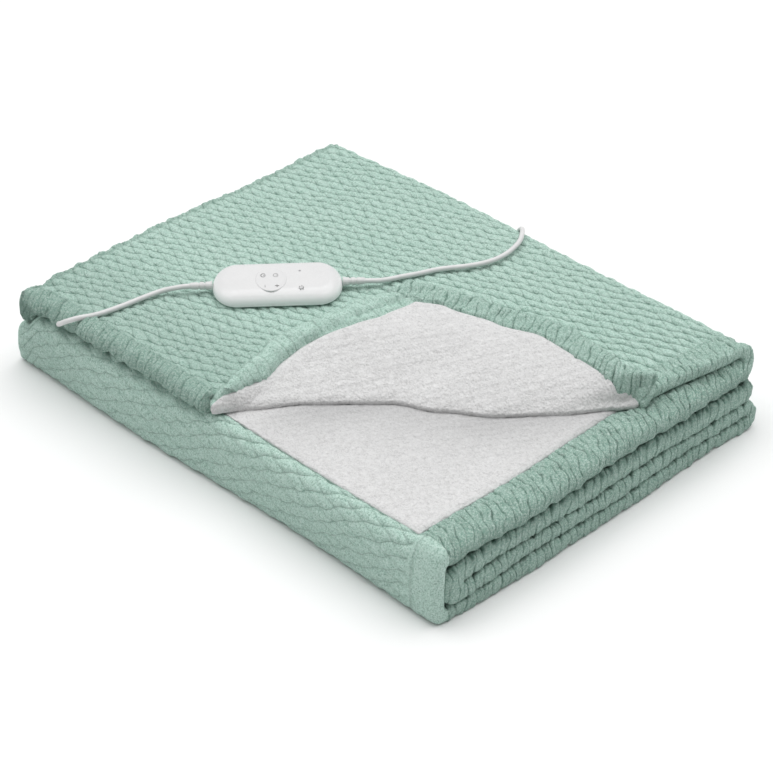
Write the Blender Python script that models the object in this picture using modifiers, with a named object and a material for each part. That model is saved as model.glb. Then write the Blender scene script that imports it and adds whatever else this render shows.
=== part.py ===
# Electric heated blanket, folded, with its hand control, leads and plug.
# Metres, +Z up.  X runs along the long side of the folded blanket and Y along the short side.
# The origin is on the surface, under the middle of the blanket.
# The near long side faces -Y and the near short side faces +X.

import math

import bpy
import bmesh
from mathutils import Matrix, Vector
from mathutils.bvhtree import BVHTree

# --- folded cloth: plan ---------------------------------------------------------------------
HALF_LENGTH = 0.291          # half of the long side
BACK_FACE = 0.213            # outside of the folds on the back long side
SEAM_Y = -0.2015             # seam where the backing meets the face cloth on the near side
WRAP_REACH = 0.0165          # how far the tall wrap bulges in front of the seam
WRAP_WALL = 0.0150
WRAP_SQUARENESS = (4.2, 2.8)   # exponents of the wrap's lower and upper outline, 2 is an ellipse
WRAP_TOP = 0.0735
INNER_TURN_Y = -0.1815
INNER_TURN_REACH = 0.0190

# --- folded cloth: underside and top of each layer, counted from the surface up -------------
FLOOR_LAYER = (0.0000, 0.0150)
SECOND_LAYER = (0.0162, 0.0310)
THIRD_LAYER = (0.0322, 0.0540)
PANEL_LAYER = (0.0554, 0.0716)
TOP_LAYER = (0.0730, 0.0880)
CORNER_LAYER = (0.0894, 0.1010)   # the turned-back corner, lying on the top layer
SLIT_REACH = 0.0006               # depth of the round root between two folded layers

# Each layer ends at its own place along X, given here as (y, x), and its edge wanders a little.
LEFT_ENDS = {"floor": ((-0.200, -0.2925), (-0.100, -0.2870)), "second": ((0.000, -0.2830),),
             "third": ((0.000, -0.2820),), "panel": ((-0.200, -0.2790), (0.000, -0.2810)),
             "top": ((-0.200, -0.2765), (0.150, -0.2765))}
RIGHT_ENDS = {"floor": ((-0.200, 0.2850), (-0.060, 0.2910), (0.100, 0.2890), (0.200, 0.2910)),
              "second": ((-0.150, 0.2860), (0.000, 0.2880)), "third": ((-0.150, 0.2840), (0.150, 0.2870)),
              "panel": ((-0.200, 0.2830), (-0.100, 0.2860)), "top": ((0.080, 0.2640), (0.180, 0.2770))}
EDGE_PHASE = {"floor": 0.0, "second": 1.3, "third": 2.9, "panel": 4.1, "top": 5.2}
EDGE_WANDER = 0.0012
EDGE_WAVE = 0.031
END_FADE = 0.090             # the layers' ends differ over this length only
END_ROUND = 0.008            # depth over which a short edge rounds off
END_BLUNT = 0.25             # share of the thickness left at its very end

# --- sewn hems ------------------------------------------------------------------------------
SHORT_HEM_CREST = 0.266      # X of the crest of the roll along the right-hand short side
SHORT_HEM_LIFT = 0.0050
SHORT_HEM_SPREAD = 0.013
SHORT_HEM_STITCH = 0.247
TOP_EDGE_Y = -0.2165         # outside of the top layer's free long edge
LONG_HEM_LIFT = 0.0040
LONG_HEM_SPREAD = 0.009
LONG_HEM_STITCH = -0.187
PRESSED_X = -0.194
PRESSED_REACH = 0.018
STITCH_DEPTH = 0.0012
NOSE_REACH = 0.0095          # half thickness of a free edge

# --- turned-back corner ---------------------------------------------------------------------
# Tables give the value along the actual X.  The crease runs at 45 degrees.
CORNER_START = -0.012
CORNER_ROUND = 0.008
CREASE_OFFSET = -0.185
CREASE_REACH = 0.0195        # the round bend cut at 45 degrees
CREASE_WANDER = ((-0.012, -0.008), (0.011, 0.001), (0.040, 0.011), (0.096, 0.011),
                 (0.138, -0.006), (0.177, -0.016), (0.217, -0.011), (0.250, 0.002), (0.268, -0.003))
CORNER_FAR_EDGE = ((-0.012, 0.042), (0.027, 0.0585), (0.078, 0.073), (0.128, 0.087), (0.160, 0.0925),
                   (0.209, 0.086), (0.236, 0.081), (0.257, 0.084), (0.291, 0.104))
BACKING_FAR_EDGE = ((0.014, 0.020), (0.048, 0.036), (0.101, 0.048), (0.148, 0.062), (0.175, 0.061),
                    (0.200, 0.055), (0.228, 0.050), (0.253, 0.045))
CORNER_NOSE = 0.006
CORNER_HEM_RISE = 0.0016     # the hem stands this much above the backing cloth's bed
CORNER_HEM_X = (0.0135, 0.2495)
CORNER_LEFT_EDGE = ((-0.205, 0.004), (-0.160, -0.005), (-0.115, -0.0145), (-0.080, -0.013),
                    (-0.047, -0.009), (-0.015, -0.001), (0.015, 0.004), (0.045, 0.006))
CORNER_EDGE_FADE = 0.130     # its left edge's shift dies out over this length

# --- backing cloth where it shows -----------------------------------------------------------
FIT_GAP = 0.0003
BACKING_THICKNESS = 0.0016
BACKING_CREASE_GAP = 0.008   # the lower backing stops this far before the middle of the crease
LOWER_BACKING_X = (0.0040, 0.2480)
CORNER_BACKING_X = (0.0150, 0.2480)

# --- unevenness of the whole stack ----------------------------------------------------------
SWELL = 0.022                # share of the height
SLUMPS = ((-0.255, 0.205, 0.150, 0.060), (0.290, 0.215, 0.055, 0.060), (-0.300, -0.215, 0.060, 0.050))
SIDE_SWAY = 0.0020
LEVEL_RADIUS = (0.060, 0.110)   # the stack is level round the hand control

# --- where the cloth's mesh has its sections along X ----------------------------------------
CLOTH_STATIONS = (-0.2910, -0.2895, -0.2860, -0.2790, -0.2640, -0.2350, -0.2080, -0.1940, -0.1800, -0.1560, -0.1200,
                  -0.0800, -0.0480, -0.0280, -0.0120, -0.0105, -0.0060, 0.0040, 0.0120, 0.0150,
                  0.0340, 0.0540, 0.0760, 0.0980, 0.1200, 0.1440, 0.1690, 0.1940, 0.2180, 0.2370,
                  0.2480, 0.2505, 0.2580, 0.2660, 0.2740, 0.2810, 0.2868, 0.2900, 0.2910)

# --- hand control ---------------------------------------------------------------------------
CONTROL_CENTRE = (-0.0995, -0.0410)
CONTROL_TURN = math.radians(48.3)
CONTROL_HALF = (0.0620, 0.0305)
CONTROL_END_DEPTH = 0.0230   # how much of each end is curved
CONTROL_SPLIT = 0.0062       # height of the joint between its shells
CONTROL_HEIGHT = 0.0150
PAD_CENTRE = (-0.0060, -0.0040)
PAD_HALF = (0.0142, 0.0205)
PAD_POCKET = 0.0009
PAD_THICKNESS = 0.0010
LAMP_PLACES = ((0.0215, 0.0092), (0.0222, -0.0210))
LAMP_RADIUS = 0.0012
LAMP_DEPTH = 0.0015
GLAND_LENGTH = 0.0215
GLAND_RADIUS = 0.0040
GLAND_HEIGHT = 0.0072        # its axis above the control's underside

# --- leads ----------------------------------------------------------------------------------
CORD_RADIUS = 0.0025
CORD_SPACING = 0.0105        # between points of a lead
CORD_REST = 0.0005           # least space between a lead and the cloth it lies on
CORD_SIDES = 2               # bevel resolution, 8 sides
# Route of the lead from the hand control to the blanket, under the top layer's hem.
BLANKET_LEAD = ((-0.1703, -0.1219, 0.0918), (-0.1755, -0.1420, 0.0914), (-0.1790, -0.1690, 0.0914),
                (-0.1832, -0.1915, 0.0916), (-0.1866, -0.2020, 0.0922), (-0.1900, -0.2110, 0.0930),
                (-0.1945, -0.2180, 0.0920), (-0.2005, -0.2225, 0.0890), (-0.2070, -0.2235, 0.0850),
                (-0.2125, -0.2215, 0.0800), (-0.2165, -0.2170, 0.0750))
# Route of the mains lead from the hand control over the back edge and down to the hank.
MAINS_LEAD = ((-0.0352, 0.0350, 0.0926), (-0.0318, 0.0452, 0.0916),
              (-0.0286, 0.0540, 0.0912), (-0.0222, 0.0680, 0.0912), (-0.0121, 0.0918, 0.0910),
              (0.0041, 0.1170, 0.0910), (0.0122, 0.1360, 0.0910), (0.0142, 0.1560, 0.0910),
              (0.0112, 0.1736, 0.0910), (0.0060, 0.1870, 0.0906), (-0.0010, 0.1970, 0.0896),
              (-0.0090, 0.2065, 0.0875), (-0.0175, 0.2135, 0.0815), (-0.0245, 0.2165, 0.0720),
              (-0.0290, 0.2170, 0.0600), (-0.0290, 0.2175, 0.0450), (-0.0265, 0.2190, 0.0310),
              (-0.0245, 0.2235, 0.0190), (-0.0270, 0.2315, 0.0115), (-0.0345, 0.2395, 0.0084),
              (-0.0440, 0.2434, 0.0078), (-0.0537, 0.2440, 0.0078))
HANK_CENTRE = (-0.1150, 0.2440)
HANK_RUN = 0.075             # straight part of the hank
HANK_TURN_RADIUS = 0.0234    # outside of its round ends
HANK_HEIGHT = 0.0154
HANK_EDGE = 0.0025
TIE_X = -0.1150
TIE_WIDTH = 0.012
TIE_THICKNESS = 0.0014
# Route of the free end from the hank to the plug.
PLUG_LEAD = ((-0.1762, 0.2440, 0.0070), (-0.1850, 0.2437, 0.0070), (-0.1940, 0.2430, 0.0070))

# --- plug -----------------------------------------------------------------------------------
PLUG_TAIL = (-0.2000, 0.2425)   # where its relief's thin end is
PLUG_RELIEF_LENGTH = 0.030
PLUG_LENGTH = 0.035
PLUG_HALF_WIDTH = 0.0125
PLUG_HEIGHT = 0.0140
PIN_RADIUS = 0.0020
PIN_LENGTH = 0.0190
PIN_SPACING = 0.0186

GREEN = (0.450, 0.640, 0.550, 1.0)
WHITE_CLOTH = (0.820, 0.810, 0.800, 1.0)
WHITE_SHELL = (0.860, 0.860, 0.850, 1.0)
PALE_GREY = (0.740, 0.740, 0.740, 1.0)
MARK_GREY = (0.450, 0.450, 0.460, 1.0)
METAL = (0.780, 0.770, 0.740, 1.0)


# --- scene helpers --------------------------------------------------------------------------


def emptyScene():
    for thing in list(bpy.data.objects):
        bpy.data.objects.remove(thing, do_unlink=True)


def makeCollection(name):
    group = bpy.data.collections.new(name)
    bpy.context.scene.collection.children.link(group)
    return group


def material(name, colour, roughness, metallic=0.0):
    finish = bpy.data.materials.new(name)
    finish.use_nodes = True
    shader = finish.node_tree.nodes["Principled BSDF"]
    shader.inputs["Base Color"].default_value = colour
    shader.inputs["Roughness"].default_value = roughness
    shader.inputs["Metallic"].default_value = metallic
    return finish


def meshObject(name, verts, faces, finish, group):
    mesh = bpy.data.meshes.new(name)
    mesh.from_pydata(verts, [], faces)
    shape = bmesh.new()
    shape.from_mesh(mesh)
    bmesh.ops.recalc_face_normals(shape, faces=shape.faces)
    shape.to_mesh(mesh)
    shape.free()
    mesh.materials.append(finish)
    thing = bpy.data.objects.new(name, mesh)
    group.objects.link(thing)
    return thing


def cut(target, tool, cutters):
    # target loses the space that tool fills
    for group in list(tool.users_collection):
        group.objects.unlink(tool)
    cutters.objects.link(tool)
    tool.display_type = "WIRE"
    tool.hide_render = True
    step = target.modifiers.new("cut " + tool.name, "BOOLEAN")
    step.operation = "DIFFERENCE"
    step.solver = "EXACT"
    step.object = tool


# --- small maths ----------------------------------------------------------------------------


def mix(a, b, share):
    return a + (b - a) * share


def mixPoint(a, b, share):
    return tuple(mix(p, q, share) for p, q in zip(a, b))


def smooth(value, start, end):
    share = min(max((value - start) / (end - start), 0.0), 1.0)
    return share * share * (3.0 - 2.0 * share)


def bump(value, middle, reach):
    return math.exp(-((value - middle) / reach) ** 2)


def quarterRound(depth, radius):
    # height of a round edge at a depth behind its end, as a share
    return math.sqrt(max(1.0 - max(1.0 - depth / radius, 0.0) ** 2, 0.0))


def lookUp(table, x):
    if x <= table[0][0]:
        return table[0][1]
    for (x0, y0), (x1, y1) in zip(table, table[1:]):
        if x <= x1:
            return mix(y0, y1, smooth(x, x0, x1))
    return table[-1][1]


def spaced(start, end, steps):
    return [mix(start, end, i / steps) for i in range(steps)]


# --- folded cloth: one section --------------------------------------------------------------
# A section is a list of pairs.  A pair holds two facing points (y, z) on the cloth's two sides, the
# point between them that both draw in to where a short edge rounds off, and where its layer ends.


def pair(first, second, layers, middle=None):
    if middle is None:
        middle = mixPoint(first, second, 0.5)
    return {"first": first, "second": second, "middle": middle, "layers": layers}


def flatRun(ys, first, second, layer):
    # first and second are heights, or functions of y that give them
    def height(level, y):
        return level(y) if callable(level) else level
    return [pair((y, height(first, y)), (y, height(second, y)), (layer, layer, 0.0)) for y in ys]


def turnPoint(y, side, low, high, reach, share, powers=(2.0, 2.0)):
    angle = mix(-math.pi / 2, math.pi / 2, share)
    power = powers[0] if share < 0.5 else powers[1]
    across = max(math.cos(angle), 0.0) ** (2 / power)
    upward = math.copysign(abs(math.sin(angle)) ** (2 / power), angle)
    return (y + side * reach * across, (low + high) / 2 + (high - low) / 2 * upward)


def turn(y, side, first, second, steps, layers, powers=(2.0, 2.0)):
    # A bend at y between two layers, bulging to side.  first and second are
    # (height it leaves, height it reaches, reach along Y).
    pairs = []
    for i in range(steps):
        share = i / steps
        a = turnPoint(y, side, *first, share, powers)
        b = turnPoint(y, side, *second, share, powers)
        pairs.append(pair(a, b, (*layers, share)))
    return pairs


def layerX(layer, station, y):
    # where a layer's section lies along X, given the even station
    wander = EDGE_WANDER * math.sin(y / EDGE_WAVE + EDGE_PHASE[layer])
    right = smooth(station, HALF_LENGTH - END_FADE, HALF_LENGTH)
    left = smooth(-station, HALF_LENGTH - END_FADE, HALF_LENGTH)
    return (station + (lookUp(RIGHT_ENDS[layer], y) - HALF_LENGTH + wander) * right
            + (lookUp(LEFT_ENDS[layer], y) + HALF_LENGTH + wander) * left)


def shortHemLift(x):
    roll = SHORT_HEM_LIFT * bump(x, SHORT_HEM_CREST, SHORT_HEM_SPREAD)
    return roll - STITCH_DEPTH * bump(x, SHORT_HEM_STITCH, 0.004)


def longHemHeight(x):
    # the lead presses the roll flat where it crosses
    return LONG_HEM_LIFT * (1.0 - bump(x, PRESSED_X, PRESSED_REACH))


def longHemLift(x, y):
    roll = longHemHeight(x) * bump(y, TOP_EDGE_Y + NOSE_REACH, LONG_HEM_SPREAD)
    return roll - STITCH_DEPTH * bump(y, LONG_HEM_STITCH, 0.004)


def creaseY(x):
    return x + CREASE_OFFSET + lookUp(CREASE_WANDER, x)


def cornerBed(station, y, farHem):
    # top of the turned-back corner: the hem stands above the bed of the backing cloth
    onHem = station < CORNER_HEM_X[0] or station > CORNER_HEM_X[1] or y > farHem + 0.001
    return CORNER_LAYER[1] + (CORNER_HEM_RISE if onHem else 0.0)


def section(station):
    # The whole back-and-forth outline, from the third layer's free edge at the back to the end of
    # the turned-back corner, and the number of the first pair of each named stretch.
    panelLift = shortHemLift(layerX("panel", station, 0.0))
    topX = layerX("top", station, 0.0)
    topLift = shortHemLift(topX)
    panelLow, panelTop = PANEL_LAYER[0], PANEL_LAYER[1] + panelLift
    topLow, topTop = TOP_LAYER[0] + topLift, TOP_LAYER[1] + topLift
    cornerLow = CORNER_LAYER[0] + topLift
    lowTurnReach = (SECOND_LAYER[1] - FLOOR_LAYER[0]) / 2
    highTurnReach = (TOP_LAYER[1] - PANEL_LAYER[0]) / 2
    lowTurnY = BACK_FACE - lowTurnReach
    highTurnY = BACK_FACE - highTurnReach
    thirdEnd = BACK_FACE - 0.004 - NOSE_REACH
    onCorner = station >= CORNER_START
    marks = {}

    pairs = flatRun(spaced(thirdEnd, INNER_TURN_Y, 4), THIRD_LAYER[1], THIRD_LAYER[0], "third")
    pairs += turn(INNER_TURN_Y, -1, (THIRD_LAYER[1], SECOND_LAYER[0], INNER_TURN_REACH),
                  (THIRD_LAYER[0], SECOND_LAYER[1], SLIT_REACH), 5, ("third", "second"))
    pairs += flatRun(spaced(INNER_TURN_Y, lowTurnY, 4), SECOND_LAYER[0], SECOND_LAYER[1], "second")
    pairs += turn(lowTurnY, 1, (SECOND_LAYER[0], FLOOR_LAYER[1], SLIT_REACH),
                  (SECOND_LAYER[1], FLOOR_LAYER[0], lowTurnReach), 6, ("second", "floor"))
    pairs += flatRun(spaced(lowTurnY, SEAM_Y, 5), FLOOR_LAYER[1], FLOOR_LAYER[0], "floor")
    pairs += turn(SEAM_Y, -1, (FLOOR_LAYER[1], panelLow, WRAP_REACH - WRAP_WALL),
                  (FLOOR_LAYER[0], WRAP_TOP + panelLift, WRAP_REACH), 10, ("floor", "panel"),
                  WRAP_SQUARENESS)

    marks["seam"] = len(pairs)
    backingEnd = max(creaseY(topX) - BACKING_CREASE_GAP, SEAM_Y + 0.010)
    bedStart = SEAM_Y + STITCH_DEPTH
    pairs += flatRun([SEAM_Y], panelLow, WRAP_TOP + panelLift, "panel")
    pairs += flatRun(spaced(bedStart, backingEnd, 5), panelLow, panelTop, "panel")
    marks["backing end"] = len(pairs)
    pairs += flatRun(spaced(backingEnd, highTurnY, 4), panelLow, panelTop, "panel")
    pairs += turn(highTurnY, 1, (panelLow, topTop, highTurnReach), (panelTop, topLow, SLIT_REACH),
                  7, ("panel", "top"))

    # top layer, up to its free long edge or the crease
    share = quarterRound(station - CORNER_START, CORNER_ROUND) if onCorner else 0.0
    edgeY = TOP_EDGE_Y + NOSE_REACH
    endY = creaseY(topX) if onCorner else edgeY

    def topHeight(y):
        return topTop + (1.0 - share) * longHemLift(topX, y)
    ys = spaced(highTurnY, endY + 0.030, 6) + [endY + reach for reach in (0.030, 0.020, 0.009)]
    pairs += flatRun(ys, topHeight, topLow, "top")

    # its edge: a round nose, or the bend at the crease
    marks["crease"] = len(pairs)
    nose = (endY, (topLow + topTop) / 2)
    noseTop = (endY, topTop + longHemHeight(topX))
    farY = max(lookUp(CORNER_FAR_EDGE, topX), endY + 0.014)
    hemY = max(lookUp(BACKING_FAR_EDGE, topX), endY + 0.001)
    cornerTop = cornerBed(station, endY, hemY) + topLift
    steps = 7
    for i in range(steps):
        free = turnPoint(endY, -1, topLow, noseTop[1], NOSE_REACH, i / steps)
        bent = turnPoint(endY, -1, topLow, cornerTop, CREASE_REACH, i / steps)
        root = turnPoint(endY, -1, topTop, cornerLow, SLIT_REACH, i / steps)
        first = mixPoint(noseTop, root, share)
        second = mixPoint(free, bent, share)
        middle = nose if share == 0.0 else mixPoint(first, second, 0.5)
        pairs.append(pair(first, second, ("top", "top", 0.0), middle))

    # the turned-back corner, drawn together to a line at its left edge
    marks["corner"] = len(pairs)
    if onCorner:
        runEnd = farY - CORNER_NOSE
        ys = spaced(endY, hemY, 4) + [hemY, min(hemY + 0.002, runEnd - 0.001), runEnd]
        for number, y in enumerate(ys):
            low = (y, cornerLow)
            top = (y, cornerBed(station, y, hemY) + topLift)
            thin = noseTop if number == 0 else mixPoint(low, top, 0.5)
            pairs.append(pair(mixPoint(thin, low, share), mixPoint(thin, top, share),
                              ("top", "top", 0.0)))
    else:
        pairs += [pair(noseTop, noseTop, ("top", "top", 0.0), nose)] * 7
    marks["backing far end"] = marks["corner"] + 4
    return pairs, marks


# --- folded cloth: whole --------------------------------------------------------------------


def sway(point):
    # a soft unevenness of the whole stack; the surface it rests on stays flat
    x, y, z = point
    distance = math.hypot(x - CONTROL_CENTRE[0], y - CONTROL_CENTRE[1])
    free = smooth(distance, *LEVEL_RADIUS)
    wave = (0.6 * math.sin(x / 0.105 + 0.7) * math.cos(y / 0.085 + 0.3)
            + 0.4 * math.sin(x / 0.052 + y / 0.068 + 1.9))
    raised = z * (1.0 + SWELL * free * wave)
    for middleX, middleY, reach, share in SLUMPS:
        apart = math.hypot(x - middleX, y - middleY) / reach
        raised -= z * share * free * math.exp(-apart * apart)
    aside = SIDE_SWAY * math.sin(x / 0.064 + z / 0.030) * smooth(abs(y), 0.120, 0.210)
    return (x, y + aside, raised)


def cornerShift(station, y):
    # the turned-back corner's left edge bows out to the left
    fade = max(1.0 - (station - CORNER_START) / CORNER_EDGE_FADE, 0.0)
    return lookUp(CORNER_LEFT_EDGE, y) * fade


def place(station, item, point, onCorner):
    start, end, share = item["layers"]
    x = mix(layerX(start, station, point[0]), layerX(end, station, point[0]), share)
    if onCorner:
        x += cornerShift(station, point[0])
    return sway((x, point[0], point[1]))


def endShare(station):
    depth = HALF_LENGTH - abs(station)
    return mix(END_BLUNT, 1.0, quarterRound(depth, END_ROUND))


def noseFan(item, centre, reach, side, steps=4):
    # points of a round free edge between a pair's two sides, without its ends
    fan = []
    for i in range(1, steps):
        angle = mix(-math.pi / 2, math.pi / 2, i / steps)
        toFirst = mixPoint(centre, item["first"], -math.sin(angle))
        fan.append((toFirst[0] + side * reach * math.cos(angle), toFirst[1]))
    return fan


def clothGrid():
    # every section's points in space: the cloth's two sides, and its two free edges
    grid = []
    for station in CLOTH_STATIONS:
        pairs, marks = section(station)
        share = endShare(station)
        cornerShare = quarterRound(station - CORNER_START, CORNER_ROUND) if station >= CORNER_START else 0.0

        def settle(item, point, isCorner):
            drawn = mixPoint(item["middle"], point, share)
            return place(station, item, drawn, isCorner)

        firsts = []
        seconds = []
        for number, item in enumerate(pairs):
            isCorner = station >= CORNER_START and number > marks["corner"]
            firsts.append(settle(item, item["first"], isCorner))
            seconds.append(settle(item, item["second"], isCorner))
        backNose = [settle(pairs[0], point, False)
                    for point in noseFan(pairs[0], pairs[0]["middle"], 0.008, 1)]
        cornerNose = [settle(pairs[-1], point, station >= CORNER_START)
                      for point in noseFan(pairs[-1], pairs[-1]["middle"], CORNER_NOSE * cornerShare, 1)]
        grid.append({"station": station, "first": firsts, "second": seconds,
                     "back nose": backNose, "corner nose": cornerNose, "marks": marks})
    return grid


class Welder:
    # collects faces by their corners' places, so that equal corners become one vertex

    def __init__(self):
        self.verts = []
        self.faces = []
        self.numbers = {}

    def vertex(self, point):
        key = tuple(round(value, 7) for value in point)
        if key not in self.numbers:
            self.numbers[key] = len(self.verts)
            self.verts.append(point)
        return self.numbers[key]

    def face(self, *points):
        corners = []
        for point in points:
            number = self.vertex(point)
            if number not in corners:
                corners.append(number)
        if len(corners) > 2:
            self.faces.append(corners)


def makeBlanket(grid, finish, group):
    welder = Welder()
    marks = grid[0]["marks"]
    for before, after in zip(grid, grid[1:]):
        onCorner = before["station"] >= CORNER_START
        last = len(before["first"]) - 1 if onCorner else marks["corner"]
        for side in ("first", "second"):
            for i in range(last):
                welder.face(before[side][i], after[side][i], after[side][i + 1], before[side][i + 1])
        edges = [("back nose", 0)]
        if onCorner:
            edges.append(("corner nose", -1))
        for name, end in edges:
            near = [before["first"][end], *before[name], before["second"][end]]
            far = [after["first"][end], *after[name], after["second"][end]]
            for i in range(len(near) - 1):
                welder.face(near[i], far[i], far[i + 1], near[i + 1])
    for rim, last in ((grid[0], marks["corner"]), (grid[-1], len(grid[-1]["first"]) - 1)):
        for i in range(last):
            welder.face(rim["first"][i], rim["first"][i + 1], rim["second"][i + 1], rim["second"][i])
        welder.face(rim["first"][0], *rim["back nose"], rim["second"][0])
    welder.face(grid[-1]["first"][-1], *grid[-1]["corner nose"], grid[-1]["second"][-1])
    return meshObject("blanket", welder.verts, welder.faces, finish, group)


def patchNormals(rows):
    # outward normals of a grid of points, rows along X and columns along the section
    normals = []
    for k, row in enumerate(rows):
        line = []
        for i in range(len(row)):
            alongX = Vector(rows[min(k + 1, len(rows) - 1)][i]) - Vector(rows[max(k - 1, 0)][i])
            alongY = Vector(row[min(i + 1, len(row) - 1)]) - Vector(row[max(i - 1, 0)])
            line.append(alongX.cross(alongY).normalized())
        normals.append(line)
    return normals


def makeBacking(name, grid, xRange, firstMark, lastMark, finish, group):
    # a thin sheet lying on part of the blanket's outside
    rows = [row["second"][firstMark:lastMark + 1] for row in grid
            if xRange[0] - 1e-6 <= row["station"] <= xRange[1] + 1e-6]
    normals = patchNormals(rows)
    shells = []
    for height in (FIT_GAP, FIT_GAP + BACKING_THICKNESS):
        shells.append([[tuple(Vector(point) + normal * height) for point, normal in zip(row, line)]
                       for row, line in zip(rows, normals)])
    under, over = shells
    welder = Welder()
    last = len(rows) - 1
    width = len(rows[0]) - 1
    for k in range(last):
        for i in range(width):
            for shell in shells:
                welder.face(shell[k][i], shell[k + 1][i], shell[k + 1][i + 1], shell[k][i + 1])
        for i in (0, width):
            welder.face(under[k][i], under[k + 1][i], over[k + 1][i], over[k][i])
    for i in range(width):
        for k in (0, last):
            welder.face(under[k][i], under[k][i + 1], over[k][i + 1], over[k][i])
    return meshObject(name, welder.verts, welder.faces, finish, group)


# --- hand control ---------------------------------------------------------------------------


def controlOutline(inset=0.0, steps=12):
    # a long body with oval ends
    length = CONTROL_HALF[0] - inset
    width = CONTROL_HALF[1] - inset
    depth = CONTROL_END_DEPTH - inset * 0.8
    points = []
    for side in (1, -1):
        for i in range(steps + 1):
            angle = mix(-math.pi / 2, math.pi / 2, i / steps)
            points.append((side * (length - depth + depth * math.cos(angle)),
                           side * width * math.sin(angle)))
    return points


def ovalOutline(centre, half, steps=28):
    return [(centre[0] + half[0] * math.cos(2 * math.pi * i / steps),
             centre[1] + half[1] * math.sin(2 * math.pi * i / steps)) for i in range(steps)]


def loft(name, rings, finish, group, frame=None):
    # a closed body through rings of equal count, with flat ends
    verts = []
    faces = []
    count = len(rings[0])
    for ring in rings:
        verts += [tuple(frame @ Vector(point)) if frame else point for point in ring]
    for r in range(len(rings) - 1):
        for i in range(count):
            j = (i + 1) % count
            faces.append((r * count + i, r * count + j, (r + 1) * count + j, (r + 1) * count + i))
    faces.append(tuple(range(count)))
    faces.append(tuple(range((len(rings) - 1) * count, len(rings) * count)))
    return meshObject(name, verts, faces, finish, group)


def layered(outlineAt, levels):
    # rings from (inset, height) levels
    return [[(x, y, z) for x, y in outlineAt(inset)] for inset, z in levels]


def makeControl(group, cutters, finishes):
    base = TOP_LAYER[1] + FIT_GAP
    frame = Matrix.Translation((*CONTROL_CENTRE, base)) @ Matrix.Rotation(CONTROL_TURN, 4, "Z")
    split = CONTROL_SPLIT
    top = CONTROL_HEIGHT
    lower = loft("control_lower_shell",
                 layered(controlOutline, ((0.0045, 0.0), (0.0016, 0.0010), (0.0004, 0.0028), (0.0, split))),
                 finishes["shell"], group, frame)
    upper = loft("control_upper_shell",
                 layered(controlOutline, ((0.0, split + FIT_GAP), (0.0002, 0.0088), (0.0010, 0.0112),
                                          (0.0026, 0.0132), (0.0050, 0.0145), (0.0085, top))),
                 finishes["shell"], group, frame)
    openings = [("pad_pocket", PAD_CENTRE, tuple(half + FIT_GAP for half in PAD_HALF), PAD_POCKET, 28)]
    for number, spot in enumerate(LAMP_PLACES):
        hole = (LAMP_RADIUS + FIT_GAP, LAMP_RADIUS + FIT_GAP)
        openings.append(("lamp_hole_%d" % (number + 1), spot, hole, LAMP_DEPTH, 12))
    for name, centre, half, depth, steps in openings:
        outline = ovalOutline(centre, half, steps)
        rings = [[(x, y, z) for x, y in outline] for z in (top - depth, top + 0.004)]
        cut(upper, loft(name, rings, finishes["shell"], cutters, frame), cutters)
    padLow = top - PAD_POCKET + FIT_GAP
    padRings = [[(x, y, padLow + z) for x, y in ovalOutline(PAD_CENTRE, (PAD_HALF[0] - i, PAD_HALF[1] - i))]
                for i, z in ((0.0, 0.0), (0.0, PAD_THICKNESS - 0.0003), (0.0005, PAD_THICKNESS))]
    loft("keypad", padRings, finishes["pad"], group, frame)
    for number, spot in enumerate(LAMP_PLACES):
        lampLow = top - LAMP_DEPTH + FIT_GAP
        outline = ovalOutline(spot, (LAMP_RADIUS, LAMP_RADIUS), 12)
        rings = [[(x, y, z) for x, y in outline] for z in (lampLow, top + 0.0002)]
        loft("indicator_lamp_%d" % (number + 1), rings, finishes["mark"], group, frame)
    return lower, upper


def turned(name, profile, frame, finish, group, sides=14):
    # a turned piece: profile is (distance along its axis, radius)
    mesh = bpy.data.meshes.new(name)
    points = [(along, radius, 0.0) for along, radius in profile]
    points = [(profile[0][0], 0.0, 0.0), *points, (profile[-1][0], 0.0, 0.0)]
    mesh.from_pydata(points, [(i, i + 1) for i in range(len(points) - 1)], [])
    mesh.materials.append(finish)
    thing = bpy.data.objects.new(name, mesh)
    screw = thing.modifiers.new("turn", "SCREW")
    screw.axis = "X"
    screw.steps = sides
    screw.render_steps = sides
    screw.use_merge_vertices = True
    screw.merge_threshold = 0.00002
    screw.use_normal_flip = True
    thing.matrix_world = frame
    group.objects.link(thing)
    return thing


def controlPoint(along, across=0.0, height=0.0):
    # a place given along and across the hand control, in world coordinates
    cosine = math.cos(CONTROL_TURN)
    sine = math.sin(CONTROL_TURN)
    return (CONTROL_CENTRE[0] + along * cosine - across * sine,
            CONTROL_CENTRE[1] + along * sine + across * cosine,
            TOP_LAYER[1] + FIT_GAP + height)


def glandProfile():
    # a sleeve with two grooves and a rounded thin end
    profile = [(0.0, GLAND_RADIUS + 0.0008), (0.0020, GLAND_RADIUS)]
    for start in (0.0062, 0.0118):
        profile += [(start, GLAND_RADIUS - 0.0002), (start + 0.0003, GLAND_RADIUS - 0.0011),
                    (start + 0.0017, GLAND_RADIUS - 0.0011), (start + 0.0020, GLAND_RADIUS - 0.0003)]
    profile += [(GLAND_LENGTH - 0.0015, GLAND_RADIUS - 0.0007), (GLAND_LENGTH, GLAND_RADIUS - 0.0012)]
    return profile


def makeGlands(group, finish):
    for name, side in (("blanket_lead_relief", -1), ("mains_lead_relief", 1)):
        start = controlPoint(side * (CONTROL_HALF[0] + FIT_GAP), 0.0, GLAND_HEIGHT)
        heading = CONTROL_TURN + (0.0 if side > 0 else math.pi)
        frame = Matrix.Translation(start) @ Matrix.Rotation(heading, 4, "Z")
        turned(name, glandProfile(), frame, finish, group)


# --- leads ----------------------------------------------------------------------------------


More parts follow.
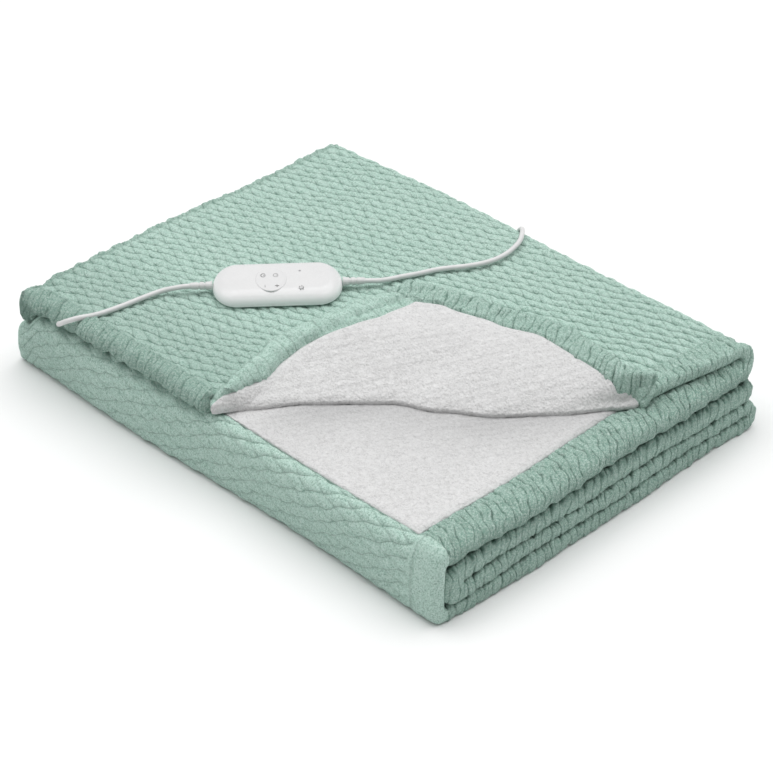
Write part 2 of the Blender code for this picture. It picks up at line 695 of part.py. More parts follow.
def smoothRoute(points, spacing):
    # evenly spaced points on a smooth curve through the route's points
    dense = []
    for i in range(len(points) - 1):
        p0 = Vector(points[max(i - 1, 0)])
        p1 = Vector(points[i])
        p2 = Vector(points[i + 1])
        p3 = Vector(points[min(i + 2, len(points) - 1)])
        for step in range(12):
            t = step / 12
            dense.append(0.5 * (2 * p1 + (p2 - p0) * t + (2 * p0 - 5 * p1 + 4 * p2 - p3) * t * t
                                + (3 * p1 - p0 - 3 * p2 + p3) * t * t * t))
    dense.append(Vector(points[-1]))
    lengths = [0.0]
    for a, b in zip(dense, dense[1:]):
        lengths.append(lengths[-1] + (b - a).length)
    count = max(round(lengths[-1] / spacing), 2)
    route = []
    for n in range(count + 1):
        goal = lengths[-1] * n / count
        i = max(k for k in range(len(lengths) - 1) if lengths[k] <= goal + 1e-9)
        share = (goal - lengths[i]) / max(lengths[i + 1] - lengths[i], 1e-9)
        route.append(dense[i].lerp(dense[i + 1], min(share, 1.0)))
    return route


def clearOf(cloth, route, fixed):
    # the route, moved out of the cloth wherever it would sink into it; the first points stay
    reach = CORD_RADIUS + CORD_REST
    for _ in range(12):
        for n in range(fixed, len(route)):
            halfway = (route[n] + route[n - 1]) / 2
            for spot in (route[n], halfway):
                near, normal, _, _ = cloth.find_nearest(spot)
                depth = reach - (spot - near).dot(normal)
                if (spot - near).length < reach or (spot - near).dot(normal) < 0:
                    route[n] = route[n] + normal * max(depth, 0.0)
    return route


def makeLead(name, points, finish, group, cloth=None):
    curve = bpy.data.curves.new(name, "CURVE")
    curve.dimensions = "3D"
    curve.bevel_depth = CORD_RADIUS
    curve.bevel_resolution = CORD_SIDES
    curve.use_fill_caps = True
    curve.resolution_u = 1
    route = smoothRoute(points, CORD_SPACING)
    if cloth:
        route = clearOf(cloth, route, 2)
    spline = curve.splines.new("POLY")
    spline.points.add(len(route) - 1)
    for spot, point in zip(spline.points, route):
        spot.co = (*point, 1.0)
    curve.materials.append(finish)
    thing = bpy.data.objects.new(name, curve)
    group.objects.link(thing)
    return thing


def makeHank(group, finishes):
    def hankOutline(inset, steps=10):
        radius = HANK_TURN_RADIUS - inset
        points = []
        for side in (1, -1):
            for i in range(steps + 1):
                angle = mix(-math.pi / 2, math.pi / 2, i / steps)
                points.append((HANK_CENTRE[0] + side * (HANK_RUN / 2 + radius * math.cos(angle)),
                               HANK_CENTRE[1] + side * radius * math.sin(angle)))
        return points
    edge = HANK_EDGE
    levels = ((edge, 0.0), (edge * 0.3, edge * 0.3), (0.0, edge), (0.0, HANK_HEIGHT - edge),
              (edge * 0.3, HANK_HEIGHT - edge * 0.3), (edge, HANK_HEIGHT))
    loft("mains_lead_hank", layered(hankOutline, levels), finishes["cord"], group)

    # the tie goes over the hank from floor to floor
    inner = HANK_TURN_RADIUS + FIT_GAP
    roof = HANK_HEIGHT + FIT_GAP
    outline = [(-inner - TIE_THICKNESS, 0.0), (-inner - TIE_THICKNESS, roof + TIE_THICKNESS * 0.4),
               (-inner - TIE_THICKNESS * 0.4, roof + TIE_THICKNESS),
               (inner + TIE_THICKNESS * 0.4, roof + TIE_THICKNESS),
               (inner + TIE_THICKNESS, roof + TIE_THICKNESS * 0.4), (inner + TIE_THICKNESS, 0.0),
               (inner, 0.0), (inner, roof), (-inner, roof), (-inner, 0.0)]
    rings = [[(TIE_X + side * TIE_WIDTH / 2, HANK_CENTRE[1] + y, z) for y, z in outline] for side in (-1, 1)]
    loft("hank_tie", rings, finishes["tie"], group)


# --- plug -----------------------------------------------------------------------------------


def makePlug(group, finishes):
    axis = PLUG_HEIGHT / 2
    tail = Matrix.Translation((PLUG_TAIL[0], PLUG_TAIL[1], axis)) @ Matrix.Rotation(math.pi, 4, "Z")
    relief = [(0.0, 0.0031), (0.0012, 0.0034)]
    for number in range(4):
        start = 0.005 + number * 0.006
        radius = 0.0034 + number * 0.0005
        relief += [(start, radius), (start + 0.0004, radius - 0.0007),
                   (start + 0.0020, radius - 0.0007), (start + 0.0024, radius + 0.0002)]
    relief += [(PLUG_RELIEF_LENGTH, 0.0056)]
    turned("plug_strain_relief", relief, tail, finishes["cord"], group)

    def plugRing(along, halfWidth, halfHeight, steps=20):
        points = []
        for i in range(steps):
            angle = 2 * math.pi * i / steps
            across = math.copysign(abs(math.cos(angle)) ** 0.5, math.cos(angle))
            upward = math.copysign(abs(math.sin(angle)) ** 0.5, math.sin(angle))
            points.append((along, halfWidth * across, halfHeight * upward))
        return points
    start = PLUG_RELIEF_LENGTH + FIT_GAP
    body = [plugRing(start + along, width, height) for along, width, height in
            ((0.0, 0.0062, 0.0058), (0.0040, 0.0080, 0.0064), (0.0110, 0.0112, axis),
             (0.0240, PLUG_HALF_WIDTH, axis), (0.0325, PLUG_HALF_WIDTH, axis),
             (PLUG_LENGTH, PLUG_HALF_WIDTH - 0.0010, axis - 0.0010))]
    loft("plug_body", body, finishes["cord"], group, tail)
    for number, side in enumerate((-1, 1)):
        frame = tail @ Matrix.Translation((start + PLUG_LENGTH + FIT_GAP, side * PIN_SPACING / 2, 0.0))
        sleeve = [(0.0, PIN_RADIUS), (0.0100, PIN_RADIUS)]
        turned("plug_pin_sleeve_%d" % (number + 1), sleeve, frame, finishes["cord"], group, 12)
        tip = [(0.0100 + FIT_GAP, PIN_RADIUS), (PIN_LENGTH - 0.0012, PIN_RADIUS),
               (PIN_LENGTH, PIN_RADIUS - 0.0008)]
        turned("plug_pin_%d" % (number + 1), tip, frame, finishes["metal"], group, 12)


# --- all ------------------------------------------------------------------------------------


def main():
    emptyScene()
    group = makeCollection("electric heated blanket")
    cutters = makeCollection("cutters")
    finishes = {"face": material("green face cloth", GREEN, 0.95),
                "backing": material("white backing cloth", WHITE_CLOTH, 0.98),
                "shell": material("white shell", WHITE_SHELL, 0.35),
                "pad": material("keypad", WHITE_SHELL, 0.45),
                "mark": material("lamp window", MARK_GREY, 0.30),
                "cord": material("white cord", PALE_GREY, 0.50),
                "tie": material("tie", PALE_GREY, 0.60),
                "metal": material("pins", METAL, 0.25, 1.0)}
    grid = clothGrid()
    marks = grid[0]["marks"]
    blanket = makeBlanket(grid, finishes["face"], group)
    cloth = BVHTree.FromPolygons([v.co for v in blanket.data.vertices],
                                 [tuple(p.vertices) for p in blanket.data.polygons])
    makeBacking("backing_lower", grid, LOWER_BACKING_X, marks["seam"] + 1, marks["backing end"],
                finishes["backing"], group)
    makeBacking("backing_turned_corner", grid, CORNER_BACKING_X, marks["crease"] + 2,
                marks["backing far end"], finishes["backing"], group)
    makeControl(group, cutters, finishes)
    makeGlands(group, finishes["cord"])
    # each lead leaves its relief straight
    leadEnd = CONTROL_HALF[0] + GLAND_LENGTH + 2.5 * FIT_GAP
    for name, side, route in (("blanket_lead", -1, BLANKET_LEAD), ("mains_lead", 1, MAINS_LEAD)):
        start = [controlPoint(side * (leadEnd + reach), 0.0, GLAND_HEIGHT - drop)
                 for reach, drop in ((0.0, 0.0), (0.0050, 0.0002))]
        makeLead(name, (*start, *route), finishes["cord"], group, cloth)
    plugTail = (PLUG_TAIL[0] + FIT_GAP, PLUG_TAIL[1], PLUG_HEIGHT / 2)
    makeLead("plug_lead", (*PLUG_LEAD, plugTail), finishes["cord"], group)
    makeHank(group, finishes)
    makePlug(group, finishes)


main()
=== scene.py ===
import math
import bmesh
import bpy
import numpy as np
from mathutils import Matrix, Vector


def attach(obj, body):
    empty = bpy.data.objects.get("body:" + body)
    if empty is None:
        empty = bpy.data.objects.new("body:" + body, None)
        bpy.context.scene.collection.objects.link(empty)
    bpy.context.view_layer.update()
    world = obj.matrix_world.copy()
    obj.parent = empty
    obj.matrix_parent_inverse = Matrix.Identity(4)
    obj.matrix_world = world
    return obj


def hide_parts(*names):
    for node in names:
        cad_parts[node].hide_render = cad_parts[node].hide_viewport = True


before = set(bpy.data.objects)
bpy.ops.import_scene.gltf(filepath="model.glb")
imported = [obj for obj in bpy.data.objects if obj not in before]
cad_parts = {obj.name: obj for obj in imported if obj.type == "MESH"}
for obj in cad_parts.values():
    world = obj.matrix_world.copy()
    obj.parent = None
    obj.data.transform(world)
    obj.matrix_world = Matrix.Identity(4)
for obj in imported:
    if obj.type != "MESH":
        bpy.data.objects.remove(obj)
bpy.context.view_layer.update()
scene = bpy.context.scene

# Electric heated blanket, folded, with its hand control, leads and plug.
# X runs along the long side of the folded blanket, Y along the short side, and it rests at height 0.


# small maths, for numbers and for numpy arrays

def mix(a, b, share):
    return a + (b - a) * share


def smooth(value, start, end):
    share = np.clip((value - start) / (end - start), 0.0, 1.0)
    return share * share * (3.0 - 2.0 * share)


def bump(value, middle, reach):
    return np.exp(-((value - middle) / reach) ** 2)


def quarterRound(depth, radius, power=2.0):
    inside = np.clip(1.0 - depth / radius, 0.0, 1.0)
    return np.maximum(1.0 - inside ** power, 0.0) ** (1.0 / power)


def lookUp(table, value):
    # a smooth line through (spot, level) pairs, level beyond its ends
    if len(table) == 1:
        return table[0][1] + 0.0 * value
    spots, levels = np.array(table).T
    value = np.clip(value, spots[0], spots[-1])
    i = np.clip(np.searchsorted(spots, value) - 1, 0, len(spots) - 2)
    share = (value - spots[i]) / (spots[i + 1] - spots[i])
    return mix(levels[i], levels[i + 1], share * share * (3.0 - 2.0 * share))


# camera at the photograph's angle

view = {"place": (1.4055, -1.3984, 1.3874), "azimuth": 45.01, "elevation": 34.90, "lens": 116.94}


def makeCamera():
    turned, raised = math.radians(view["azimuth"]), math.radians(view["elevation"])
    level = math.cos(raised)
    back = Vector((math.sin(turned) * level, -math.cos(turned) * level, math.sin(raised)))
    right = Vector((math.cos(turned), math.sin(turned), 0.0))
    facing = Matrix((right, back.cross(right), back)).transposed().to_4x4()
    camera = bpy.data.objects.new("camera", bpy.data.cameras.new("camera"))
    camera.data.lens = view["lens"]
    camera.data.sensor_width = 36.0
    camera.data.clip_start = 0.01
    camera.matrix_world = Matrix.Translation(view["place"]) @ facing
    scene.collection.objects.link(camera)
    scene.camera = camera


makeCamera()
print("camera placed")


# shader maths: a Wire is a socket, and sums of wires add Math nodes

class Wire:
    def __init__(self, tree, socket):
        self.tree = tree
        self.socket = socket

    def node(self, kind, settings=None, inputs=None, output=0):
        made = self.tree.nodes.new(kind)
        for name, value in (settings or {}).items():
            if name == "stops":
                while len(made.color_ramp.elements) < len(value):
                    made.color_ramp.elements.new(1.0)
                for stop, (spot, colour) in zip(made.color_ramp.elements, value):
                    stop.position = spot
                    stop.color = colour
            else:
                setattr(made, name, value)
        for name, value in (inputs or {}).items():
            if isinstance(value, Wire):
                self.tree.links.new(value.socket, made.inputs[name])
            else:
                made.inputs[name].default_value = value
        return Wire(self.tree, made.outputs[output])

    def maths(self, operation, *values):
        return self.node("ShaderNodeMath", {"operation": operation}, dict(enumerate(values)))

    def __add__(self, other):
        return self.maths("ADD", self, other)

    def __radd__(self, other):
        return self.maths("ADD", other, self)

    def __sub__(self, other):
        return self.maths("SUBTRACT", self, other)

    def __rsub__(self, other):
        return self.maths("SUBTRACT", other, self)

    def __mul__(self, other):
        return self.maths("MULTIPLY", self, other)

    def __rmul__(self, other):
        return self.maths("MULTIPLY", other, self)

    def __pow__(self, other):
        return self.maths("POWER", self, other)

    def ramp(self, start, end, low=0.0, high=1.0):
        return self.node("ShaderNodeMapRange", {"interpolation_type": "SMOOTHSTEP"},
                         {0: self, 1: start, 2: end, 3: low, 4: high})

    def noise(self, scale, detail=2.0, roughness=0.5, distortion=0.0):
        return self.node("ShaderNodeTexNoise", {}, {"Vector": self, "Scale": scale, "Detail": detail,
                                                    "Roughness": roughness, "Distortion": distortion})

    def cells(self, scale):
        return self.node("ShaderNodeTexVoronoi", {"feature": "SMOOTH_F1"}, {"Vector": self, "Scale": scale})

    def between(self, low, high):
        # a colour that goes from low to high as this value does
        return self.node("ShaderNodeValToRGB", {"stops": ((0.3, (*low, 1)), (0.7, (*high, 1)))}, {0: self})

    def blend(self, colour, share):
        # this colour, mixed towards another
        return self.node("ShaderNodeMix", {"data_type": "RGBA"}, {0: share, 6: self, 7: (*colour, 1)}, 2)

    def field(self, name):
        # a value that the mesh holds for each vertex
        return self.node("ShaderNodeAttribute", {"attribute_name": name}, {}, 2)

    def raised(self, strength, distance, under=None):
        inputs = {"Height": self, "Strength": strength, "Distance": distance}
        if under is not None:
            inputs["Normal"] = under
        return self.node("ShaderNodeBump", {}, inputs)


def newMaterial(name, roughness=0.5, metallic=0.0, sheen=0.0, sheenRoughness=0.5, level=0.5):
    finish = bpy.data.materials.new(name)
    finish.use_nodes = True
    tree = finish.node_tree
    shader = tree.nodes["Principled BSDF"]
    for socket, value in (("Roughness", roughness), ("Metallic", metallic), ("Sheen Weight", sheen),
                          ("Sheen Roughness", sheenRoughness), ("Specular IOR Level", level)):
        shader.inputs[socket].default_value = value
    return finish, shader, Wire(tree, tree.nodes.new("ShaderNodeTexCoord").outputs["Object"])


def plug(shader, name, wire):
    wire.tree.links.new(wire.socket, shader.inputs[name])


def grey(level, blue=0.0):
    return level, level, level + blue


# either kind of value, so that one formula gives the relief of the mesh and of its material

def sine(value):
    return value.maths("SINE", value) if isinstance(value, Wire) else np.sin(value)


def least(value, limit):
    return value.maths("MAXIMUM", value, limit) if isinstance(value, Wire) else np.maximum(value, limit)


def saw(value):
    # distance from the nearest whole number, with its sign
    if isinstance(value, Wire):
        return value - value.maths("FLOOR", value + 0.5)
    return value - np.floor(value + 0.5)


# cords: mains lead, its hank and its tail are one cord; the lead to the blanket is another

cord = {
    "diameter": 0.0050,
    "mainsRoute": ((-0.0457, 0.0194, 0.0955), (-0.0405, 0.0252, 0.0953), (-0.0364, 0.0312, 0.0945),
                   (-0.0336, 0.0385, 0.0934), (-0.0311, 0.0462, 0.0925), (-0.0286, 0.0540, 0.0920),
                   (-0.0222, 0.0680, 0.0916), (-0.0121, 0.0918, 0.0914), (0.0041, 0.1170, 0.0914),
                   (0.0122, 0.1360, 0.0914), (0.0142, 0.1560, 0.0914), (0.0112, 0.1736, 0.0914),
                   (0.0060, 0.1870, 0.0910), (-0.0010, 0.1970, 0.0900), (-0.0090, 0.2065, 0.0878),
                   (-0.0175, 0.2135, 0.0820), (-0.0245, 0.2168, 0.0720), (-0.0290, 0.2176, 0.0600),
                   (-0.0290, 0.2180, 0.0450), (-0.0265, 0.2195, 0.0310), (-0.0245, 0.2240, 0.0190),
                   (-0.0270, 0.2315, 0.0105), (-0.0345, 0.2390, 0.0062), (-0.0440, 0.2445, 0.0040),
                   (-0.0530, 0.2510, 0.0030)),
    "blanketRoute": ((-0.1547, -0.1030, 0.0955), (-0.1592, -0.1085, 0.0953), (-0.1645, -0.1150, 0.0942),
                     (-0.1703, -0.1219, 0.0926), (-0.1755, -0.1420, 0.0917), (-0.1790, -0.1690, 0.0917),
                     (-0.1832, -0.1915, 0.0919), (-0.1866, -0.2020, 0.0923), (-0.1900, -0.2110, 0.0930),
                     (-0.1945, -0.2170, 0.0914), (-0.2003, -0.2204, 0.0880), (-0.2065, -0.2214, 0.0836),
                     (-0.2122, -0.2186, 0.0795), (-0.2160, -0.2120, 0.0776), (-0.2190, -0.2035, 0.0776)),
    "tailRoute": ((-0.1810, 0.2450, 0.0072), (-0.1880, 0.2435, 0.0070), (-0.1940, 0.2430, 0.0070),
                  (-0.1999, 0.2425, 0.0070)),
    "hankMiddle": (-0.1150, 0.2440), "hankRun": 0.0750,
    # radius of the round ends and height of each turn, wound from the outside of the lowest layer
    "turns": ((0.0208, 0.0026), (0.0156, 0.0026), (0.0156, 0.0077), (0.0156, 0.0128),
              (0.0208, 0.0128), (0.0208, 0.0077)),
    # where the cord goes over to the next turn, as a share of the way round
    "changes": (0.925, 0.865, 0.790, 0.690, 0.560),
    "changeLength": 0.060,
    # the cord joins and leaves the hank at these turns
    "hankSpan": (-0.055, 5.375), "stepsPerTurn": 18,
}


def stadium(share, radius):
    # a place on the hank's outline; 0 is where the round end nearest the lead meets the far run
    middleX, middleY = cord["hankMiddle"]
    run, bend = cord["hankRun"], math.pi * radius
    along = (share % 1.0) * 2 * (run + bend)
    if along < run:
        return middleX + run / 2 - along, middleY + radius
    if along < run + bend:
        angle = math.pi / 2 + (along - run) / radius
        return middleX - run / 2 + radius * math.cos(angle), middleY + radius * math.sin(angle)
    if along < 2 * run + bend:
        return middleX - run / 2 + along - run - bend, middleY - radius
    angle = (along - 2 * run - bend) / radius - math.pi / 2
    return middleX + run / 2 + radius * math.cos(angle), middleY + radius * math.sin(angle)


def hankRoute():
    changes = [turn + spot for turn, spot in enumerate(cord["changes"])]
    start, end = cord["hankSpan"]
    count = round((end - start) * cord["stepsPerTurn"])
    half = cord["changeLength"] / 2
    route = []
    for n in range(count + 1):
        way = mix(start, end, n / count)
        radius, height = cord["turns"][0]
        for change, (nextRadius, nextHeight) in zip(changes, cord["turns"][1:]):
            share = float(smooth(way, change - half, change + half))
            radius, height = mix(radius, nextRadius, share), mix(height, nextHeight, share)
        route.append((*stadium(way, radius), height))
    return route


def cleaned(mesh, openEnds=False):
    # doubled vertices joined, open ends closed and normals turned outward
    shape = bmesh.new()
    shape.from_mesh(mesh)
    bmesh.ops.remove_doubles(shape, verts=shape.verts, dist=2e-6)
    if openEnds:
        bmesh.ops.dissolve_degenerate(shape, edges=shape.edges, dist=1e-6)
        bmesh.ops.holes_fill(shape, edges=[edge for edge in shape.edges if edge.is_boundary], sides=0)
    bmesh.ops.recalc_face_normals(shape, faces=shape.faces)
    shape.to_mesh(mesh)
    shape.free()


def newPiece(name, mesh, finish, *replaced):
    # a finished mesh as a piece of the scene
    mesh.materials.clear()
    mesh.materials.append(finish)
    mesh.shade_smooth()
    piece = bpy.data.objects.new(name, mesh)
    scene.collection.objects.link(piece)
    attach(piece, "root")
    if replaced:
        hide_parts(*replaced)
    return piece


def makeCord(name, route):
    # a round tube along a smooth line, and the places of that line
    curve = bpy.data.curves.new(name, "CURVE")
    curve.dimensions = "3D"
    curve.resolution_u = 5
    spline = curve.splines.new("BEZIER")
    spline.bezier_points.add(len(route) - 1)
    for spot, place in zip(spline.bezier_points, route):
        spot.co = place
        spot.handle_left_type = spot.handle_right_type = "AUTO"
    line = bpy.data.objects.new(name + "_line", curve)
    scene.collection.objects.link(line)

    def meshed():
        bpy.context.view_layer.update()
        return bpy.data.meshes.new_from_object(line.evaluated_get(bpy.context.evaluated_depsgraph_get()))

    bare = meshed()
    path = [tuple(vertex.co) for vertex in bare.vertices]
    bpy.data.meshes.remove(bare)
    curve.bevel_depth = cord["diameter"] / 2
    curve.bevel_resolution = 4
    curve.use_fill_caps = True
    mesh = meshed()
    bpy.data.objects.remove(line)
    cleaned(mesh)
    piece = newPiece(name, mesh, cordFinish)
    return piece, path


def cordMaterial():
    finish, shader, places = newMaterial("white cord", roughness=0.42, level=0.45)
    plug(shader, "Base Color", places.noise(140.0, 3.0).between(grey(0.665, -0.002), grey(0.715, -0.003)))
    grain = places.noise(1900.0, 2.0)
    plug(shader, "Roughness", grain.ramp(0.3, 0.7, 0.36, 0.50))
    plug(shader, "Normal", grain.raised(0.12, 0.0003))
    return finish


cordFinish = cordMaterial()
mainsCord, mainsPath = makeCord("mains_cord", [*cord["mainsRoute"], *hankRoute(), *cord["tailRoute"]])
blanketCord, blanketPath = makeCord("blanket_cord", cord["blanketRoute"])
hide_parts("mains_lead", "mains_lead_hank", "plug_lead")
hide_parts("blanket_lead")
print("cords laid")


# folded cloth: the blanket's shape, as sections along X

fold = {
    "halfLength": 0.291, "backFace": 0.213, "seamY": -0.2015, "thirdEndY": 0.1995,
    "wrapReach": 0.0165, "wrapWall": 0.0150, "wrapPowers": (4.2, 2.8), "wrapTop": 0.0735,
    "innerTurnY": -0.1815, "innerTurnReach": 0.0226, "innerPowers": (4.0, 4.0),
    "floor": (0.0000, 0.0150), "second": (0.0162, 0.0310), "third": (0.0322, 0.0540),
    "panel": (0.0554, 0.0716), "top": (0.0730, 0.0880), "corner": (0.0894, 0.1010),
    "slitReach": 0.0006, "noseReach": 0.0095,
    "edgeWander": 0.0012, "edgeWave": 0.031, "endFade": 0.090, "endRound": 0.0095, "endPower": 2.9,
    # where the whole stack is uneven; each slump has its middle, its reach and its share of the height
    "dropX": (0.246, 0.272), "dropY": (0.170, 0.205), "drop": 0.0190, "dropLevel": 0.0730, "dropFade": 0.020,
    "swell": 0.022, "sideSway": 0.0020, "levelRadius": (0.060, 0.110), "levelCentre": (-0.0995, -0.0410),
    "slumps": ((-0.255, 0.205, 0.150, 0.060), (0.290, 0.215, 0.055, 0.060), (-0.300, -0.215, 0.060, 0.050)),
}
leftEnds = {"floor": ((-0.200, -0.2925), (-0.100, -0.2870)), "second": ((0.000, -0.2830),),
            "third": ((0.000, -0.2820),), "panel": ((-0.200, -0.2790), (0.000, -0.2810)),
            "top": ((-0.200, -0.2765), (0.150, -0.2765))}
rightEnds = {"floor": ((-0.200, 0.2850), (-0.060, 0.2910), (0.100, 0.2890), (0.200, 0.2910)),
             "second": ((-0.150, 0.2860), (0.000, 0.2880)), "third": ((-0.150, 0.2840), (0.150, 0.2870)),
             "panel": ((-0.200, 0.2830), (-0.100, 0.2860)), "top": ((0.080, 0.2640), (0.180, 0.2770))}
edgePhase = {"floor": 0.0, "second": 1.3, "third": 2.9, "panel": 4.1, "top": 5.2}

hem = {
    "shortCrest": 0.266, "shortLift": 0.0050, "shortSpread": 0.013, "shortStitch": 0.247,
    "shortBand": (0.2520, 0.2570), "leftBand": (0.2800, 0.2850),
    "edgeY": -0.2070, "longLift": 0.0040, "longSpread": 0.009, "longStitch": -0.187,
    "pressedX": -0.194, "pressedReach": 0.018, "stitchDepth": 0.0012, "stitchReach": 0.004,
}

corner = {
    "start": -0.012, "round": 0.008, "creaseOffset": -0.185, "creaseReach": 0.0195, "nose": 0.006,
    "creasePowers": (3.6, 1.0), "leastWidth": 0.014, "leastWhite": 0.010, "creaseGap": 0.008,
    "hemRise": 0.0028, "hemRun": 0.002, "hemX": (0.0080, 0.2860), "edgeFade": 0.130,
    "creaseWander": ((-0.012, -0.008), (0.011, 0.001), (0.040, 0.011), (0.096, 0.011), (0.138, -0.006),
                     (0.177, -0.016), (0.217, -0.011), (0.250, 0.002), (0.268, -0.003)),
    "farEdge": ((-0.012, 0.042), (0.027, 0.0585), (0.078, 0.073), (0.128, 0.087), (0.160, 0.0925),
                (0.209, 0.086), (0.236, 0.081), (0.257, 0.084), (0.291, 0.104)),
    "whiteFarEdge": ((0.014, 0.020), (0.048, 0.036), (0.101, 0.048), (0.148, 0.062), (0.175, 0.0615),
                     (0.200, 0.0595), (0.220, 0.0585), (0.245, 0.0565), (0.260, 0.0600), (0.275, 0.0665)),
    "leftEdge": ((-0.205, 0.004), (-0.160, -0.005), (-0.115, -0.0145), (-0.080, -0.013),
                 (-0.047, -0.009), (-0.015, -0.001), (0.015, 0.004), (0.045, 0.006)),
    # what the top layer and the low and high sides of the corner lose towards the crease, where they sink
    "sink": (0.0115, 0.0128, 0.0210), "sinkFull": 0.012, "sinkRun": 0.105, "sinkPower": 1.3,
    "sinkMargin": 0.012, "leastRun": 0.004, "sunkReach": 0.0070,
    # the white: its ends along X, and the tips where it runs out at the crease
    "lowerWhiteX": (-0.0120, 0.2510), "cornerWhiteX": (0.0190, 0.2780), "tips": (-0.0105, 0.2885),
    "tipRun": 0.0140, "leftBulge": 0.0110, "bulgeY": (-0.120, -0.020),
    "fitGap": 0.0003, "whiteThickness": 0.0016,
}


def layerX(layer, station, y):
    wander = fold["edgeWander"] * np.sin(y / fold["edgeWave"] + edgePhase[layer])
    half = fold["halfLength"]
    right = smooth(station, half - fold["endFade"], half)
    left = smooth(-station, half - fold["endFade"], half)
    return (station + (lookUp(rightEnds[layer], y) - half + wander) * right
            + (lookUp(leftEnds[layer], y) + half + wander) * left)


def shortHemLift(x):
    return (hem["shortLift"] * bump(x, hem["shortCrest"], hem["shortSpread"])
            - hem["stitchDepth"] * bump(x, hem["shortStitch"], hem["stitchReach"]))


def longHemHeight(x):
    return hem["longLift"] * (1.0 - bump(x, hem["pressedX"], hem["pressedReach"]))


def creaseY(x):
    return x + corner["creaseOffset"] + lookUp(corner["creaseWander"], x)


def spaced(start, end, steps):
    return start + (end - start) * np.arange(steps) / steps


def rowsOf(y, z):
    y, z = np.broadcast_arrays(np.asarray(y, float), np.asarray(z, float))
    return np.stack([y, z], -1)


def newRun(name, first, second, layers, share=0.0):
    # facing points on the cloth's two sides, and the two layers whose edges place them along X
    return {"name": name, "first": first, "second": second, "middle": (first + second) / 2,
            "layers": layers, "share": share + np.zeros(len(first))}


def turnPoints(y, side, low, high, reach, share, powers=(2.0, 2.0)):
    angle = (share - 0.5) * math.pi
    power = np.where(share < 0.5, powers[0], powers[1])
    across = np.maximum(np.cos(angle), 0.0) ** (2 / power)
    upward = np.sign(np.sin(angle)) * np.abs(np.sin(angle)) ** (2 / power)
    return rowsOf(y + side * reach * across, (low + high) / 2 + (high - low) / 2 * upward)


def named(runs, name):
    return next(run for run in runs if run["name"] == name)


